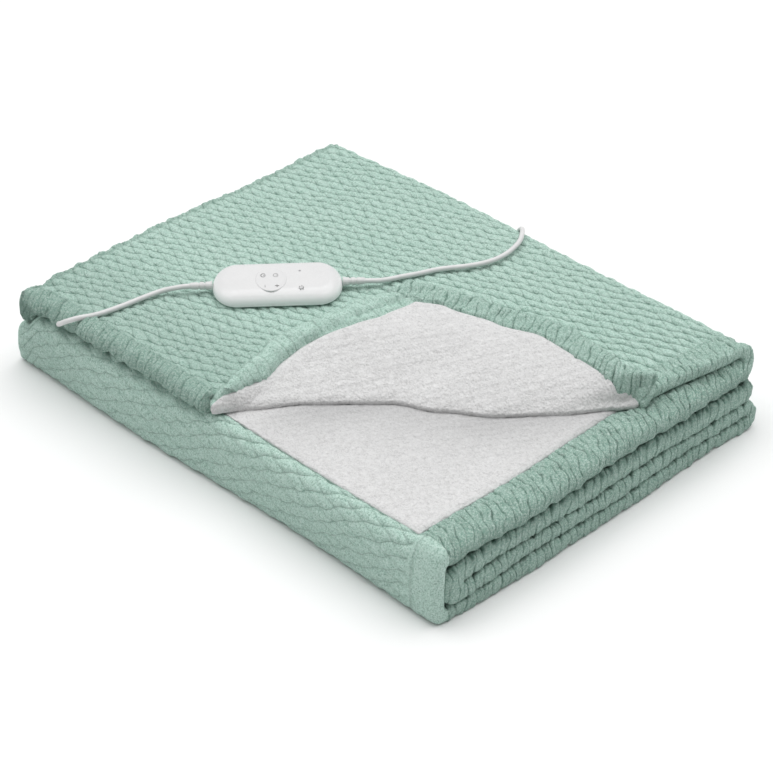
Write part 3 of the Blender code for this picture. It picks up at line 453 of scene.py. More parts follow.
def section(station, steps):
    # the back-and-forth outline at one station, as named runs
    floor, second, third, panel, top = (fold[layer] for layer in ("floor", "second", "third", "panel", "top"))
    topX = layerX("top", station, 0.0)
    panelLift, topLift = shortHemLift(layerX("panel", station, 0.0)), shortHemLift(topX)
    panelLow, panelTop, wrapTop = panel[0], panel[1] + panelLift, fold["wrapTop"] + panelLift
    topLow, topTop = top[0] + topLift, top[1] + topLift
    cornerLow, cornerTop = (level + topLift for level in fold["corner"])
    lowReach, highReach = (second[1] - floor[0]) / 2, (top[1] - panel[0]) / 2
    lowY, highY = fold["backFace"] - lowReach, fold["backFace"] - highReach
    innerY, seamY, slit = fold["innerTurnY"], fold["seamY"], fold["slitReach"]
    whiteEnd = max(creaseY(topX) - corner["creaseGap"], seamY + corner["leastWhite"])
    runs = []

    def flat(name, start, end, first, second, layer):
        ys = spaced(start, end, steps.get(name, 1))
        runs.append(newRun(name, rowsOf(ys, first), rowsOf(ys, second), (layer, layer)))

    def turn(name, y, side, first, second, layers, powers=(2.0, 2.0)):
        share = spaced(0.0, 1.0, steps.get(name, 1))
        a, b = (turnPoints(y, side, *levels, share, powers) for levels in (first, second))
        runs.append(newRun(name, a, b, layers, share))

    flat("third", fold["thirdEndY"], innerY, third[1], third[0], "third")
    turn("innerTurn", innerY, -1, (third[1], second[0], fold["innerTurnReach"]), (third[0], second[1], slit),
         ("third", "second"), fold["innerPowers"])
    flat("second", innerY, lowY, second[0], second[1], "second")
    turn("lowTurn", lowY, 1, (second[0], floor[1], slit), (second[1], floor[0], lowReach),
         ("second", "floor"))
    flat("floor", lowY, seamY, floor[1], floor[0], "floor")
    turn("wrap", seamY, -1, (floor[1], panelLow, fold["wrapReach"] - fold["wrapWall"]),
         (floor[0], wrapTop, fold["wrapReach"]), ("floor", "panel"), fold["wrapPowers"])
    flat("seam", seamY, seamY, panelLow, wrapTop, "panel")
    flat("bed", seamY + hem["stitchDepth"], whiteEnd, panelLow, panelTop, "panel")
    flat("panel", whiteEnd, highY, panelLow, panelTop, "panel")
    turn("highTurn", highY, 1, (panelLow, topTop, highReach), (panelTop, topLow, slit), ("panel", "top"))

    # the top layer, which sinks towards the crease where the corner lies on it
    onCorner = station >= corner["start"] - 1e-9
    share = float(quarterRound(station - corner["start"], corner["round"])) if onCorner else 0.0
    endY = creaseY(topX) if onCorner else hem["edgeY"]
    farY = max(lookUp(corner["farEdge"], topX), endY + corner["leastWidth"])
    sunk = share * float(smooth(station, corner["start"], corner["sinkFull"]))
    topSink, lowSink, highSink = (sunk * level for level in corner["sink"])
    sinkRun = min(max(farY - endY - corner["sinkMargin"], corner["leastRun"]), corner["sinkRun"])

    def sinkAt(y):
        return np.clip(1.0 - (y - endY) / sinkRun, 0.0, 1.0) ** corner["sinkPower"]

    ys = spaced(highY, endY, steps.get("top", 1))
    roll = (longHemHeight(topX) * bump(ys, hem["edgeY"], hem["longSpread"])
            - hem["stitchDepth"] * bump(ys, hem["longStitch"], hem["stitchReach"]))
    flat("top", highY, endY, topTop + (1.0 - share) * roll - topSink * sinkAt(ys), topLow, "top")

    # its free edge is a round nose; at the corner that becomes the bend of the crease
    hemY = max(lookUp(corner["whiteFarEdge"], topX), endY + 0.001)
    onSideHem = station < corner["hemX"][0] or station > corner["hemX"][1]
    t = spaced(0.0, 1.0, steps.get("crease", 1))
    noseTop = np.array((endY, topTop + longHemHeight(topX)))
    free = turnPoints(endY, -1, topLow, noseTop[1], fold["noseReach"], t)
    bent = turnPoints(endY, -1, topLow, cornerTop + corner["hemRise"] * onSideHem - highSink,
                      mix(corner["creaseReach"], corner["sunkReach"], sunk), t, corner["creasePowers"])
    root = turnPoints(endY, -1, topTop - topSink, cornerLow - lowSink, slit, t)
    runs.append(newRun("crease", mix(noseTop, root, share), mix(free, bent, share), ("top", "top")))
    if share == 0.0:
        runs[-1]["middle"] = np.broadcast_to((endY, (topLow + topTop) / 2), free.shape)
    if onCorner:
        def bedAt(y):
            return cornerTop - highSink * sinkAt(y)

        ys = np.append(spaced(endY, farY - corner["nose"], steps.get("corner", 1)), farY - corner["nose"])
        rise = corner["hemRise"] * np.maximum(onSideHem, smooth(ys, hemY, hemY + corner["hemRun"]))
        low, high = rowsOf(ys, cornerLow - lowSink * sinkAt(ys)), rowsOf(ys, bedAt(ys) + rise)
        thin = (low + high) / 2
        thin[0] = noseTop
        runs.append(newRun("corner", mix(thin, low, share), mix(thin, high, share), ("top", "top")))
        runs[-1].update(middle=thin, bed=bedAt, hemY=hemY)
    return runs


def sway(places):
    # a soft unevenness of the whole stack; the surface it rests on stays flat
    x, y, z = np.moveaxis(places, -1, 0)
    distance = np.hypot(x - fold["levelCentre"][0], y - fold["levelCentre"][1])
    free = smooth(distance, *fold["levelRadius"])
    wave = 0.6 * np.sin(x / 0.105 + 0.7) * np.cos(y / 0.085 + 0.3) + 0.4 * np.sin(x / 0.052 + y / 0.068 + 1.9)
    raised = z * (1.0 + fold["swell"] * free * wave)
    for middleX, middleY, reach, share in fold["slumps"]:
        apart = np.hypot(x - middleX, y - middleY) / reach
        raised = raised - z * share * free * np.exp(-apart * apart)
    low = smooth(-x, *fold["dropX"]) * smooth(-y, *fold["dropY"])
    level = np.minimum(z / fold["dropLevel"],
                       1.0 - smooth(z, fold["dropLevel"], fold["dropLevel"] + fold["dropFade"]))
    raised = raised - fold["drop"] * low * np.clip(level, 0.0, 1.0)
    aside = fold["sideSway"] * np.sin(x / 0.064 + z / 0.030) * smooth(np.abs(y), 0.120, 0.210)
    return np.stack([x, y + aside, raised], -1)


def settled(station, run, points):
    # section points (y, z) put in space
    y, z = points.T
    before, after = (layerX(layer, station, y) for layer in run["layers"])
    x = mix(before, after, run["share"])
    if run["name"] == "corner":
        fade = max(1.0 - (station - corner["start"]) / corner["edgeFade"], 0.0)
        x = x + lookUp(corner["leftEdge"], y) * fade
    return sway(np.stack([x, y, z], -1))


def endShare(station, start=-fold["halfLength"]):
    # how full the cloth is near an edge that runs along Y, 0 at the very end
    depth = np.maximum(np.minimum(station - start, fold["halfLength"] - station), 0.0)
    return quarterRound(depth, fold["endRound"], fold["endPower"])


def stationsFor(piece):
    # stations along X, closer together where the ends are round, and where the piece has extra ones
    start, end, depth = piece.get("start", -fold["halfLength"]), fold["halfLength"], fold["endRound"]
    closer = [depth * (1.0 - math.cos(math.pi / 2 * i / 8)) for i in range(8)]
    count = round((end - start - 2 * closer[-1]) / piece["step"])
    stations = [*(start + d for d in closer), *np.linspace(start + depth, end - depth, count),
                *(end - d for d in reversed(closer))]
    if "extra" in piece:
        stations = sorted(set(round(station, 6) for station in [*stations, *np.arange(*piece["extra"])]))
    return stations


def nose(run, index, reach, steps=8):
    # a round free edge from the first side to the second, without its ends
    angle = spaced(-math.pi / 2, math.pi / 2, steps)[1:]
    points = run["middle"][index] + (run["first"][index] - run["middle"][index]) * (-np.sin(angle))[:, None]
    points[:, 0] += reach * np.cos(angle)
    return points


def loopPoints(station, runs, wanted, full, startNose=0.0, endNose=0.0):
    # a closed ring of places round one section of the wanted runs, with a tag for each place
    chosen = [run for run in runs if run["name"] in wanted]
    after = runs[[run["name"] for run in runs].index(chosen[-1]["name"]) + 1:]
    if after:
        # the next run's first points close the ring
        chosen.append({key: value[:1] if isinstance(value, np.ndarray) else value
                       for key, value in after[0].items()})

    def placed(run, points, index=slice(None)):
        middle, share = run["middle"][index], run["share"][index] + np.zeros(len(points))
        return settled(station, dict(run, share=share), middle + (points - middle) * full)

    parts = [(run["name"], "first", placed(run, run["first"])) for run in chosen]
    if endNose:
        parts.append(("nose", "", placed(chosen[-1], nose(chosen[-1], -1, endNose), -1)))
    parts += [(run["name"], "second", placed(run, run["second"])[::-1]) for run in reversed(chosen)]
    if startNose:
        parts.append(("nose", "", placed(chosen[0], nose(chosen[0], 0, startNose), 0)[::-1]))
    tags = [(name, side) for name, side, places in parts for _ in places]
    return np.concatenate([places for _, _, places in parts]), tags


def buildRings(piece, fullness=endShare, least=-1.0, changed=None, **noses):
    # one ring for each station of a piece, of the runs that its steps name
    stations, rings = stationsFor(piece), []
    for station in stations:
        runs = section(max(station, least), piece["steps"])
        if changed:
            runs = changed(station, runs)
        ring, tags = loopPoints(station, runs, piece["steps"], fullness(station), **noses)
        rings.append(ring)
    return np.stack(rings), np.array(stations)[:, None], tags


# quilting of the face cloth: lozenge scales between slanting rows, each a little higher at its near tip

quilt = {"rowStep": (0.0145, 0.0058), "crossStep": (0.0140, -0.0062), "wander": 0.0011, "height": 0.0021,
         "lean": 0.34, "crossWeight": 0.84}


def quiltPlace(u, v):
    # how far a place is from its scale's middle, along the two rows, from -0.5 to 0.5
    (ax, ay), (bx, by) = quilt["rowStep"], quilt["crossStep"]
    du = (sine(v * 93.0 + u * 41.0) + sine(u * 127.0 - v * 66.0 + 1.3)
          + sine(v * 271.0 + u * 155.0 + 2.1) * 0.7)
    dv = sine(u * 83.0 - v * 57.0 + 0.6) + sine(u * 239.0 + v * 103.0 + 2.4) * 0.7 + sine(u * 35.0 + 4.0)
    u = u + du * quilt["wander"]
    v = v + dv * quilt["wander"]
    det = ax * by - bx * ay
    return saw((u * by - v * bx) * (1.0 / det)), saw((v * ax - u * ay) * (1.0 / det))


def quiltHeight(alpha, beta):
    # 0 in the grooves, about 1 on a scale
    rim = (alpha * alpha * 4.0) ** 2 * quilt["crossWeight"] + (beta * beta * 4.0) ** 2
    return least(1.0 - rim ** 0.85, 0.0) * (1.0 + (beta - alpha) * quilt["lean"])


# gathered hems: rounded ribs across the hem with narrow gaps

ribs = {"pitch": 0.0045, "slant": 0.34, "height": 0.0029, "lump": 0.0015, "seamDepth": 0.0032}


def ribHeight(along, across):
    # gathers of unequal width and depth, every second gap a weak one
    way = (along + across * ribs["slant"] + sine(along * 61.0 + across * 35.0) * 0.0024
           + sine(along * 173.0 - across * 88.0 + 1.0) * 0.0014
           + sine(across * 340.0 + along * 97.0) * 0.0005)
    turns = way * (math.pi / ribs["pitch"])
    wave = sine(turns)
    patch = (sine(along * 233.0 + sine(across * 150.0 + along * 41.0) * 2.0)
             * sine(across * 205.0 - along * 67.0 + 1.7))
    strength = (0.74 + 0.26 * patch) * (0.74 + 0.26 * sine(turns + math.pi / 2))
    return 1.0 - strength * (1.0 - (wave * wave) ** 0.40)


# cloth pieces from rings of places

def gridMesh(name, columns, rows, size=0.5):
    shape = bmesh.new()
    bmesh.ops.create_grid(shape, x_segments=columns, y_segments=rows, size=size)
    mesh = bpy.data.meshes.new(name)
    shape.to_mesh(mesh)
    shape.free()
    return mesh


def clothMesh(name, rings, unrolled, fields):
    # rings is (stations, places, 3); unrolled is (stations, places, 2); fields are per place values
    rings, unrolled, *levels = (np.concatenate([rows, rows[:, :1]], 1)
                                for rows in (rings, unrolled, *fields.values()))
    mesh = gridMesh(name, rings.shape[1] - 1, rings.shape[0] - 1)
    mesh.vertices.foreach_set("co", rings.reshape(-1).astype(np.float32))
    layer = mesh.uv_layers.get("cloth") or mesh.uv_layers.new(name="cloth")
    corners = np.empty(len(mesh.loops), np.int32)
    mesh.loops.foreach_get("vertex_index", corners)
    layer.data.foreach_set("uv", unrolled.reshape(-1, 2)[corners].reshape(-1).astype(np.float32))
    for key, level in zip(fields, levels):
        attribute = mesh.attributes.new(key, "FLOAT", "POINT")
        attribute.data.foreach_set("value", level.reshape(-1).astype(np.float32))
    cleaned(mesh, openEnds=True)
    return mesh


def numbers(items, key, size=1):
    # what a mesh holds for each of its items
    result = np.empty(len(items) * size, np.float32)
    items.foreach_get(key, result)
    return result.reshape(-1, size).astype(float).T

# colours of the face cloth: its own, painted light on its pile's tips and painted shade in its hollows, painted
# shade on its gathered hems, in the pressed grooves of its quilting and in the gaps of its ribs, its sewn seam,
# and painted shade where it is shaded

green = {"low": (0.495, 0.697, 0.610), "high": (0.525, 0.722, 0.635), "down": (0.530, 0.690, 0.620),
         "hem": (0.290, 0.435, 0.370), "tips": (0.720, 0.860, 0.800), "hollowShade": (0.180, 0.335, 0.265),
         "grooveShade": (0.125, 0.230, 0.185), "ribGapShade": (0.130, 0.240, 0.190), "seam": (0.150, 0.265, 0.215),
         "shade": (0.070, 0.140, 0.110)}


def faceMaterial():
    finish, shader, places = newMaterial("green face cloth", roughness=0.93, sheen=0.08,
                                         sheenRoughness=0.6, level=0.08)
    unrolled = places.node("ShaderNodeUVMap", {"uv_map": "cloth"})
    across = places.node("ShaderNodeSeparateXYZ", {}, {0: unrolled})
    along = Wire(places.tree, across.socket.node.outputs[1])
    hemShare, quiltShare = places.field("hemShare"), places.field("quiltShare")
    down = places.noise(210.0, 4.0, 0.62)
    wide = places.noise(9.0, 2.0)
    fuzz = places.noise(620.0, 4.0, 0.78, 0.6)
    alpha, beta = quiltPlace(across, along)
    height = quiltHeight(alpha, beta)
    nearEdge = (beta * 1.25 - alpha * 0.75).ramp(-0.25, 0.55, 0.22, 1.0)
    rib = ribHeight(places.field("ribAlong"), places.field("ribAcross"))
    depth = places.field("ribShare") * hemShare
    quilted = 1.0 - hemShare
    # painted shade in the quilting's grooves, heaviest on each scale's near edge, and in the gaps between the
    # hems' ribs
    grooveShade = height.ramp(0.0, 0.50, 1.0, 0.0) * nearEdge * quilted * quiltShare
    ribGapShade = rib.ramp(0.30, 0.86, 1.0, 0.0) * depth * down.ramp(0.35, 0.62, 0.35, 1.0)
    base = wide.between(green["low"], green["high"])
    # painted shade darkens the gathered hems, as much as each piece asks; the pile gets painted light on its tips
    # and painted shade in its hollows
    for name, share in (("down", down.ramp(0.45, 0.78, 0.0, 0.50)),
                        ("hem", hemShare * places.field("hemTone") * 0.54),
                        ("tips", fuzz.ramp(0.50, 0.60, 0.0, 0.60)),
                        ("hollowShade", fuzz.ramp(0.38, 0.50, 0.68, 0.0)),
                        ("grooveShade", grooveShade * 0.78), ("ribGapShade", ribGapShade * 0.85),
                        ("seam", hemShare * quilted * 4.0 * 0.22), ("shade", places.field("shade"))):
        base = base.blend(green[name], share)
    plug(shader, "Base Color", base)
    relief = (height * quilted * quiltShare + rib * depth).raised(0.60, 0.0022)
    plug(shader, "Normal", (down * 0.9 + fuzz * 1.2).raised(0.70, 0.0022, relief))
    return finish


def whiteMaterial():
    finish, shader, places = newMaterial("white backing cloth", roughness=0.98, sheen=0.10,
                                         sheenRoughness=0.7, level=0.06)
    curls = places.cells(420.0)
    fine = places.noise(360.0, 4.0, 0.70, 1.2)
    clump = places.noise(130.0, 4.0, 0.65)
    tone = places.noise(16.0, 2.0).between((0.706, 0.704, 0.703), (0.734, 0.732, 0.731))
    # painted shade: darker specks in the crevices of the pile
    tone = tone.blend((0.475, 0.472, 0.470), fine.ramp(0.34, 0.56, 0.60, 0.0))
    tone = tone.blend((0.79, 0.79, 0.789), clump.ramp(0.48, 0.74, 0.0, 0.6))
    plug(shader, "Base Color", tone.blend((0.255, 0.255, 0.260), places.field("shade")))
    plug(shader, "Normal", (curls * -0.8 + fine * 1.0 + clump * 0.8).raised(0.62, 0.0024))
    return finish


greenCloth = faceMaterial()
whiteCloth = whiteMaterial()


def cloud(x, y, z):
    # soft lumps of a few centimetres and less
    return (np.sin(x * 190.0 + y * 83.0 + 1.0) * np.sin(y * 171.0 - z * 210.0 + 2.0)
            + 0.6 * np.sin(x * 391.0 - y * 262.0 + z * 305.0)
            + 0.4 * np.sin(y * 431.0 + x * 510.0 + z * 97.0))


def facePiece(name, rings, unrolled, *replaced, **given):
    # a piece of face cloth, with the values for each place that its relief and its material read
    x, y, z = np.moveaxis(rings, -1, 0)
    fields = {"hemShare": 1.0, "ribShare": 1.0, "ribAlong": y + 0.11 * z, "ribAcross": x - 0.27 - z,
              "full": 1.0, "puff": 0.0, "shade": 0.0, "quiltShare": 1.0, "hemTone": 1.0, **given,
              "unrolledX": unrolled[..., 0], "unrolledY": unrolled[..., 1]}
    mesh = clothMesh(name, rings, unrolled, {key: value + 0.0 * x for key, value in fields.items()})
    # quilting, ribs and small lumps move each vertex along its normal, and nothing goes below the floor
    co, normals = numbers(mesh.vertices, "co", 3), numbers(mesh.vertex_normals, "vector", 3)
    field = {key: numbers(mesh.attributes[key].data, "value")[0] for key in fields}
    hemShare = field["hemShare"]
    quiltLift = quiltHeight(*quiltPlace(field["unrolledX"], field["unrolledY"])) - 0.75
    ribLift = ribHeight(field["ribAlong"], field["ribAcross"]) - 0.80
    amount = (quilt["height"] * quiltLift * field["quiltShare"] * (1.0 - hemShare)
              + ribs["height"] * ribLift * field["ribShare"] * hemShare
              + ribs["lump"] * (0.25 + 0.5 * hemShare) * cloud(*co)
              - ribs["seamDepth"] * hemShare * (1.0 - hemShare) + field["puff"]) * field["full"]
    co += normals * amount
    co[2] = np.maximum(co[2], 0.0)
    mesh.vertices.foreach_set("co", co.T.reshape(-1).astype(np.float32))
    mesh.update()
    return newPiece(name, mesh, greenCloth, *replaced)


def shortHemShare(x):
    return np.maximum(smooth(x, *hem["shortBand"]), smooth(-x, *hem["leftBand"]))


def arcLengths(rings, start):
    # distance round each ring from a column, signed along it
    total = np.cumsum(np.linalg.norm(np.diff(rings, axis=1, prepend=rings[:, :1]), axis=2), 1)
    return total - total[:, start:start + 1]


inner = {"step": 0.030, "extra": (0.252, 0.282, 0.003), "nose": 0.008, "endPower": 0.55,
         "steps": {"third": 250, "innerTurn": 18, "second": 240, "lowTurn": 22, "floor": 240},
         # painted shade at the right end and in the dark slit between its layers: the slit's height, its spread
         # and its notches, and the levels of shade
         "slitX": (0.268, 0.279), "slit": (0.0525, 0.0042), "notch": (507.0, 61.0), "notchPower": 1.3,
         "endShade": 0.10, "slitShade": (0.30, 0.60), "flatFull": 0.35}


def makeInnerFolds():
    rings, here, tags = buildRings(inner, lambda station: endShare(station) ** inner["endPower"],
                                   startNose=inner["nose"])
    x, y, z = np.moveaxis(rings, -1, 0)
    low = np.array([name in ("lowTurn", "nose") for name, _ in tags])
    # painted shade at the right end, heaviest in the slit between the layers and in its notches
    (often, seldom), (even, deep) = inner["notch"], inner["slitShade"]
    notches = np.maximum(np.sin(y * often + 1.5 * np.sin(y * seldom)), 0.0) ** inner["notchPower"]
    return facePiece(
        "inner_folds", rings, np.stack([x, y + 0.5 * z], -1),
        hemShare=np.where(low, shortHemShare(here), 1.0),
        shade=(inner["endShade"] + bump(z, *inner["slit"]) * (even + deep * notches)) * smooth(x, *inner["slitX"]),
        ribAlong=y * 0.92 + 0.30 * z,
        full=endShare(here) ** 0.5 * mix(inner["flatFull"], 1.0, shortHemShare(here) + low).clip(0, 1))


wrap = {"step": 0.0020, "steps": {"wrap": 72}, "quilt": (0.84, 0.80), "quiltShare": 0.62,
        # stitches at the right end, painted shade darkening the left end, and the painted shadow of the top layer
        # on the left half
        "stitch": (0.2550, 0.0013), "stitchShade": 0.28, "leftFade": (0.140, 0.270), "leftShade": 0.10,
        "shadowZ": (0.060, 0.070), "shadowY": -0.204, "shadowEnd": (0.010, 0.030)}


def makeWrap():
    rings, here, tags = buildRings(wrap)
    x, y, z = np.moveaxis(rings, -1, 0)
    length = arcLengths(rings, [side for _, side in tags].index("second"))
    # painted shadow of the top layer along the wrap's upper part, notched, on the left half; painted shade
    # darkening the left end
    notch = 0.5 + 0.5 * np.sin(x * 233.0 + 1.2 * np.sin(x * 47.0))
    shadow = smooth(z, *wrap["shadowZ"]) * (y < wrap["shadowY"]) * smooth(-here, *wrap["shadowEnd"])
    shade = (wrap["stitchShade"] * bump(x, *wrap["stitch"]) * (x > 0.0)
             + wrap["leftShade"] * smooth(-x, *wrap["leftFade"]) + shadow * (0.25 + 0.35 * notch))
    return facePiece(
        "near_wrap", rings, np.stack([x, fold["seamY"] - length], -1) * wrap["quilt"],
        hemShare=0.0, shade=shade, full=endShare(here) ** 0.5,
        quiltShare=wrap["quiltShare"] * (1.0 - shortHemShare(here)))


under = {"step": 0.030, "extra": (0.240, 0.282, 0.002), "steps": {"seam": 1, "bed": 150, "panel": 130},
         "rollZ": (0.0575, 0.0680), "hemTone": 1.55, "shade": 0.30, "shadeX": (0.270, 0.280)}


def makePanel():
    rings, here, _ = buildRings(under)
    roll = smooth(rings[..., 2], *under["rollZ"])
    # painted shade darkens the panel's gathered hem, and painted shade lies under its roll at the right end
    return facePiece(
        "middle_panel", rings, rings[..., :2], ribShare=0.25 + 0.75 * roll, hemTone=under["hemTone"],
        full=endShare(here) ** 0.5 * (0.3 + 0.7 * shortHemShare(here)),
        shade=under["shade"] * (1.0 - roll) * smooth(rings[..., 0], *under["shadeX"]))


upper = {"step": 0.00265, "steps": {"highTurn": 20, "top": 168, "crease": 12},
         # the long hem: its band, its lowest part in painted shadow, its ribs and the painted shade of the hem,
         # and its crinkles
         "band": (0.1930, 0.1975), "underY": (0.212, 0.219), "underZ": (0.0750, 0.0820), "underShade": 0.45,
         "ribShare": 0.74, "hemTone": 1.12, "ribWay": (0.74, 0.45), "crinkle": (0.0010, 0.0006),
         # the roll of the short hem, the bulge where the corner's far hem ends, and painted shade darkening the
         # top's near part
         "shortRoll": (0.2570, 0.0045), "shortPuff": 0.0016, "bulge": (0.264, 0.0750, 0.013),
         "bulgePuff": 0.0060, "nearFade": (0.070, 0.180), "nearShade": 0.19, "underFull": 0.2}


def shutEdge(station, runs):
    # under the turned-back corner the top layer ends in a blunt edge inside the bend
    if station >= corner["start"]:
        crease, last = named(runs, "crease"), named(runs, "top")
        a, b = last["first"][-1], last["second"][-1]
        crease["second"] = b + (a - b) * spaced(0.0, 1.0, len(crease["first"]))[:, None]
        crease["first"] = np.broadcast_to(a, crease["second"].shape)
        crease["middle"] = np.broadcast_to((a + b) / 2, crease["second"].shape)
    return [run for run in runs if run["name"] != "corner"]


def makeTop():
    rings, here, tags = buildRings(upper, changed=shutEdge)
    x, y, z = np.moveaxis(rings, -1, 0)
    # the cloth is unrolled from the end of the back bend
    turnEnd = tags.index(("top", "first"))
    length = arcLengths(rings, turnEnd)
    unrolled = rings[..., :2].copy()
    unrolled[:, :turnEnd, 1] = y[:, turnEnd:turnEnd + 1] - length[:, :turnEnd]
    topside = np.array([side != "second" or name == "crease" for name, side in tags])
    longBand = smooth(-y, *upper["band"]) * (here < corner["start"] + 0.02)
    shortBand = shortHemShare(here)
    onLong = longBand > shortBand
    wave = (np.sin(x * 214.0 + 2.3 * np.sin(x * 57.0) + y * 90.0)
            + 0.8 * np.sin(x * 391.0 + 1.6 * np.sin(x * 83.0 + 1.0) + z * 210.0))
    crinkle, swelling = upper["crinkle"]
    bulgeX, bulgeY, bulgeReach = upper["bulge"]
    puff = (longBand * (1.0 - shortBand) * (crinkle * wave + swelling)
            + topside * upper["shortPuff"] * bump(x, *upper["shortRoll"]) * shortBand
            + topside * upper["bulgePuff"] * bump(x, bulgeX, bulgeReach) * bump(y, bulgeY, bulgeReach))
    # painted shadow under the long hem's lowest part, and painted shade darkening the near part of the top
    below = smooth(-y, *upper["underY"]) * (1.0 - smooth(z, *upper["underZ"])) * longBand
    alongX, alongY = upper["ribWay"]
    return facePiece(
        "top_layer", rings, unrolled, "blanket", hemShare=np.maximum(shortBand, longBand), puff=puff,
        ribShare=np.maximum(shortBand, upper["ribShare"] * longBand),
        hemTone=np.where(onLong, upper["hemTone"], 1.0),
        shade=below * upper["underShade"] + topside * upper["nearShade"] * smooth(-y, *upper["nearFade"]),
        ribAlong=np.where(onLong, x * alongX + y * alongY, y),
        full=np.where(topside, 1.0, upper["underFull"]) * endShare(here) ** 0.5)


def cornerFullness(station):
    return endShare(station, corner["start"])


def whiteEnds(up, y):
    # stations where the white ends, from the bend's underside (0) to the open cloth (1)
    (left, right), (leftTip, rightTip) = corner["cornerWhiteX"], corner["tips"]
    left = left - corner["leftBulge"] * (1.0 - smooth(y, *corner["bulgeY"]))
    return mix(leftTip, left, up), np.minimum(right + (1.0 - up) * corner["tipRun"], rightTip)


flap = {"start": corner["start"], "step": 0.0022, "steps": {"crease": 40, "corner": 120},
        # the white starts after a share of the bend and reaches its full width on the open cloth;
        # one typical station gives the places' Y
        "typical": 6, "bendShare": 2 / 7, "whiteRun": 0.026,
        # under the white: margin, relief and depth
        "hiddenGap": 0.0012, "hiddenFull": 0.1, "hiddenPuff": -0.0140,
        "nearTip": (0.188, 0.208), "nearTipX": 0.06, "tipLoss": 0.85,
        # the hems are rolls: middle and reach of each, painted shade on them where they meet the white and along
        # the left roll's outer edge, and the painted shade of the far hem
        "leftRoll": (0.0125, 0.0100), "leftRollY": (-0.195, -0.160), "farRoll": (0.0120, 0.0085),
        "rollX": 0.02, "rollPuff": 0.0028, "farHem": 0.034, "onTopZ": 0.078,
        "meetingShade": (0.14, 0.0008, 0.0024), "edgeShade": (0.34, 0.0010, 0.0026), "ribShare": 0.46, "farHemShade": 0.95}


def makeCorner():
    rings, here, tags = buildRings(flap, cornerFullness, corner["start"] + corner["round"],
                                   endNose=corner["nose"])
    x, y, z = np.moveaxis(rings, -1, 0)
    toFar = lookUp(corner["farEdge"], x) - y
    # the cloth under the white sheet stays smooth and a little lower
    onBend, onBed = (np.array([tag == (name, "second") for tag in tags]) for name in ("crease", "corner"))
    up = np.zeros(len(tags))
    way = np.arange(onBend.sum())[::-1] / onBend.sum()
    up[onBend] = 0.5 * np.clip((way - flap["bendShare"]) / (1.0 - flap["bendShare"]), 0.0, 1.0)
    typical = y[flap["typical"]]
    up[onBed] = np.interp(typical[onBed] - typical[onBed].min(), (0.0, flap["whiteRun"]), (0.5, 1.0))
    left, right = whiteEnds(up, typical)
    below = y < lookUp(corner["whiteFarEdge"], x) - 0.0005
    hidden = ((up > 0.0) & (here > left + flap["hiddenGap"]) & (here < right - flap["hiddenGap"])
              & (below | onBend))
    nearTip = smooth(-y, *flap["nearTip"]) * (here < corner["start"] + flap["nearTipX"])
    # the hems
    fromLeft, onTop, onFar = here - corner["start"], z > flap["onTopZ"], toFar < flap["farHem"]
    leftRoll = bump(fromLeft, *flap["leftRoll"]) * onTop * smooth(y, *flap["leftRollY"])
    farRoll = bump(toFar, *flap["farRoll"]) * (here > flap["rollX"]) * onTop
    # painted shade where the rolls meet the white and along the left roll's outer edge; the far hem gets painted
    # shade, the left roll none
    meetingShade, before, reach = flap["meetingShade"]
    edgeShade, *edge = flap["edgeShade"]
    return facePiece(
        "turned_corner", rings, rings[..., :2], ribShare=np.where(onFar, 1.0, flap["ribShare"]),
        full=(cornerFullness(here) ** 0.5 * np.where(hidden, flap["hiddenFull"], 1.0)
              * (1.0 - flap["tipLoss"] * nearTip)),
        shade=(meetingShade * bump(here, left - before, reach) + edgeShade * bump(fromLeft, *edge))
        * onTop * ~onFar,
        hemTone=np.where(onFar, flap["farHemShade"], 0.0),
        puff=np.where(hidden, flap["hiddenPuff"], flap["rollPuff"] * np.maximum(leftRoll, farRoll)),
        ribAlong=np.where(onFar, x * 0.95, y * 0.7), ribAcross=np.where(onFar, -toFar, 0.0))


white = {"curl": 0.00035, "edgeTuck": 0.0012, "edgeSteps": 3.0,
         # the lower sheet: stations and places, and how far it goes on under the corner, left and right
         "lower": (116, 112), "lowerReach": (0.006, 0.030), "lowerReachX": (0.190, 0.240),
         # its shadow beside the crease: distance from it, fade, power, level and how that changes along X
         "shadowGap": 0.010, "shadowFade": 0.060, "shadowPower": 1.3, "shadow": (0.42, 0.05),
         "shadowX": (0.000, 0.050),
         # the corner's sheet: stations read and made, the one that gives Y, places on bend and bed
         "read": 190, "made": 132, "typical": 12, "bend": 54, "bed": 76, "widening": 9.0,
         "softening": 220, "softReach": 20.0, "bendShade": 0.05, "bendFade": 0.030, "bendX": (0.100, 0.200)}


def makeWhite(name, rows, node, shade):
    # a thin sheet on the outside of the cloth, with curls in its pile
    normals = np.cross(np.gradient(rows, axis=0), np.gradient(rows, axis=1))
    normals = normals / np.maximum(np.linalg.norm(normals, axis=2, keepdims=True), 1e-12)
    across, along = (np.minimum(np.arange(count), np.arange(count)[::-1]) for count in rows.shape[:2])
    edge = np.minimum.outer(across, along)
    x, y, z = np.moveaxis(rows, -1, 0)
    rise = corner["whiteThickness"] * quarterRound(np.minimum(edge, white["edgeSteps"]), white["edgeSteps"])
    pile = white["curl"] * cloud(x * 1.7, y * 1.7, z) * (edge > 1)
    low = corner["fitGap"] - white["edgeTuck"] * (1.0 - smooth(edge, 0.0, 2.0))
    over = rows + normals * (low + rise + pile)[..., None]
    below = rows + normals * low[..., None]
    rings = np.concatenate([over, below[:, ::-1]], 1)
    mesh = clothMesh(name, rings, rings[..., :2], {"shade": np.concatenate([shade, shade[:, ::-1]], 1)})
    return newPiece(name, mesh, whiteCloth, node)


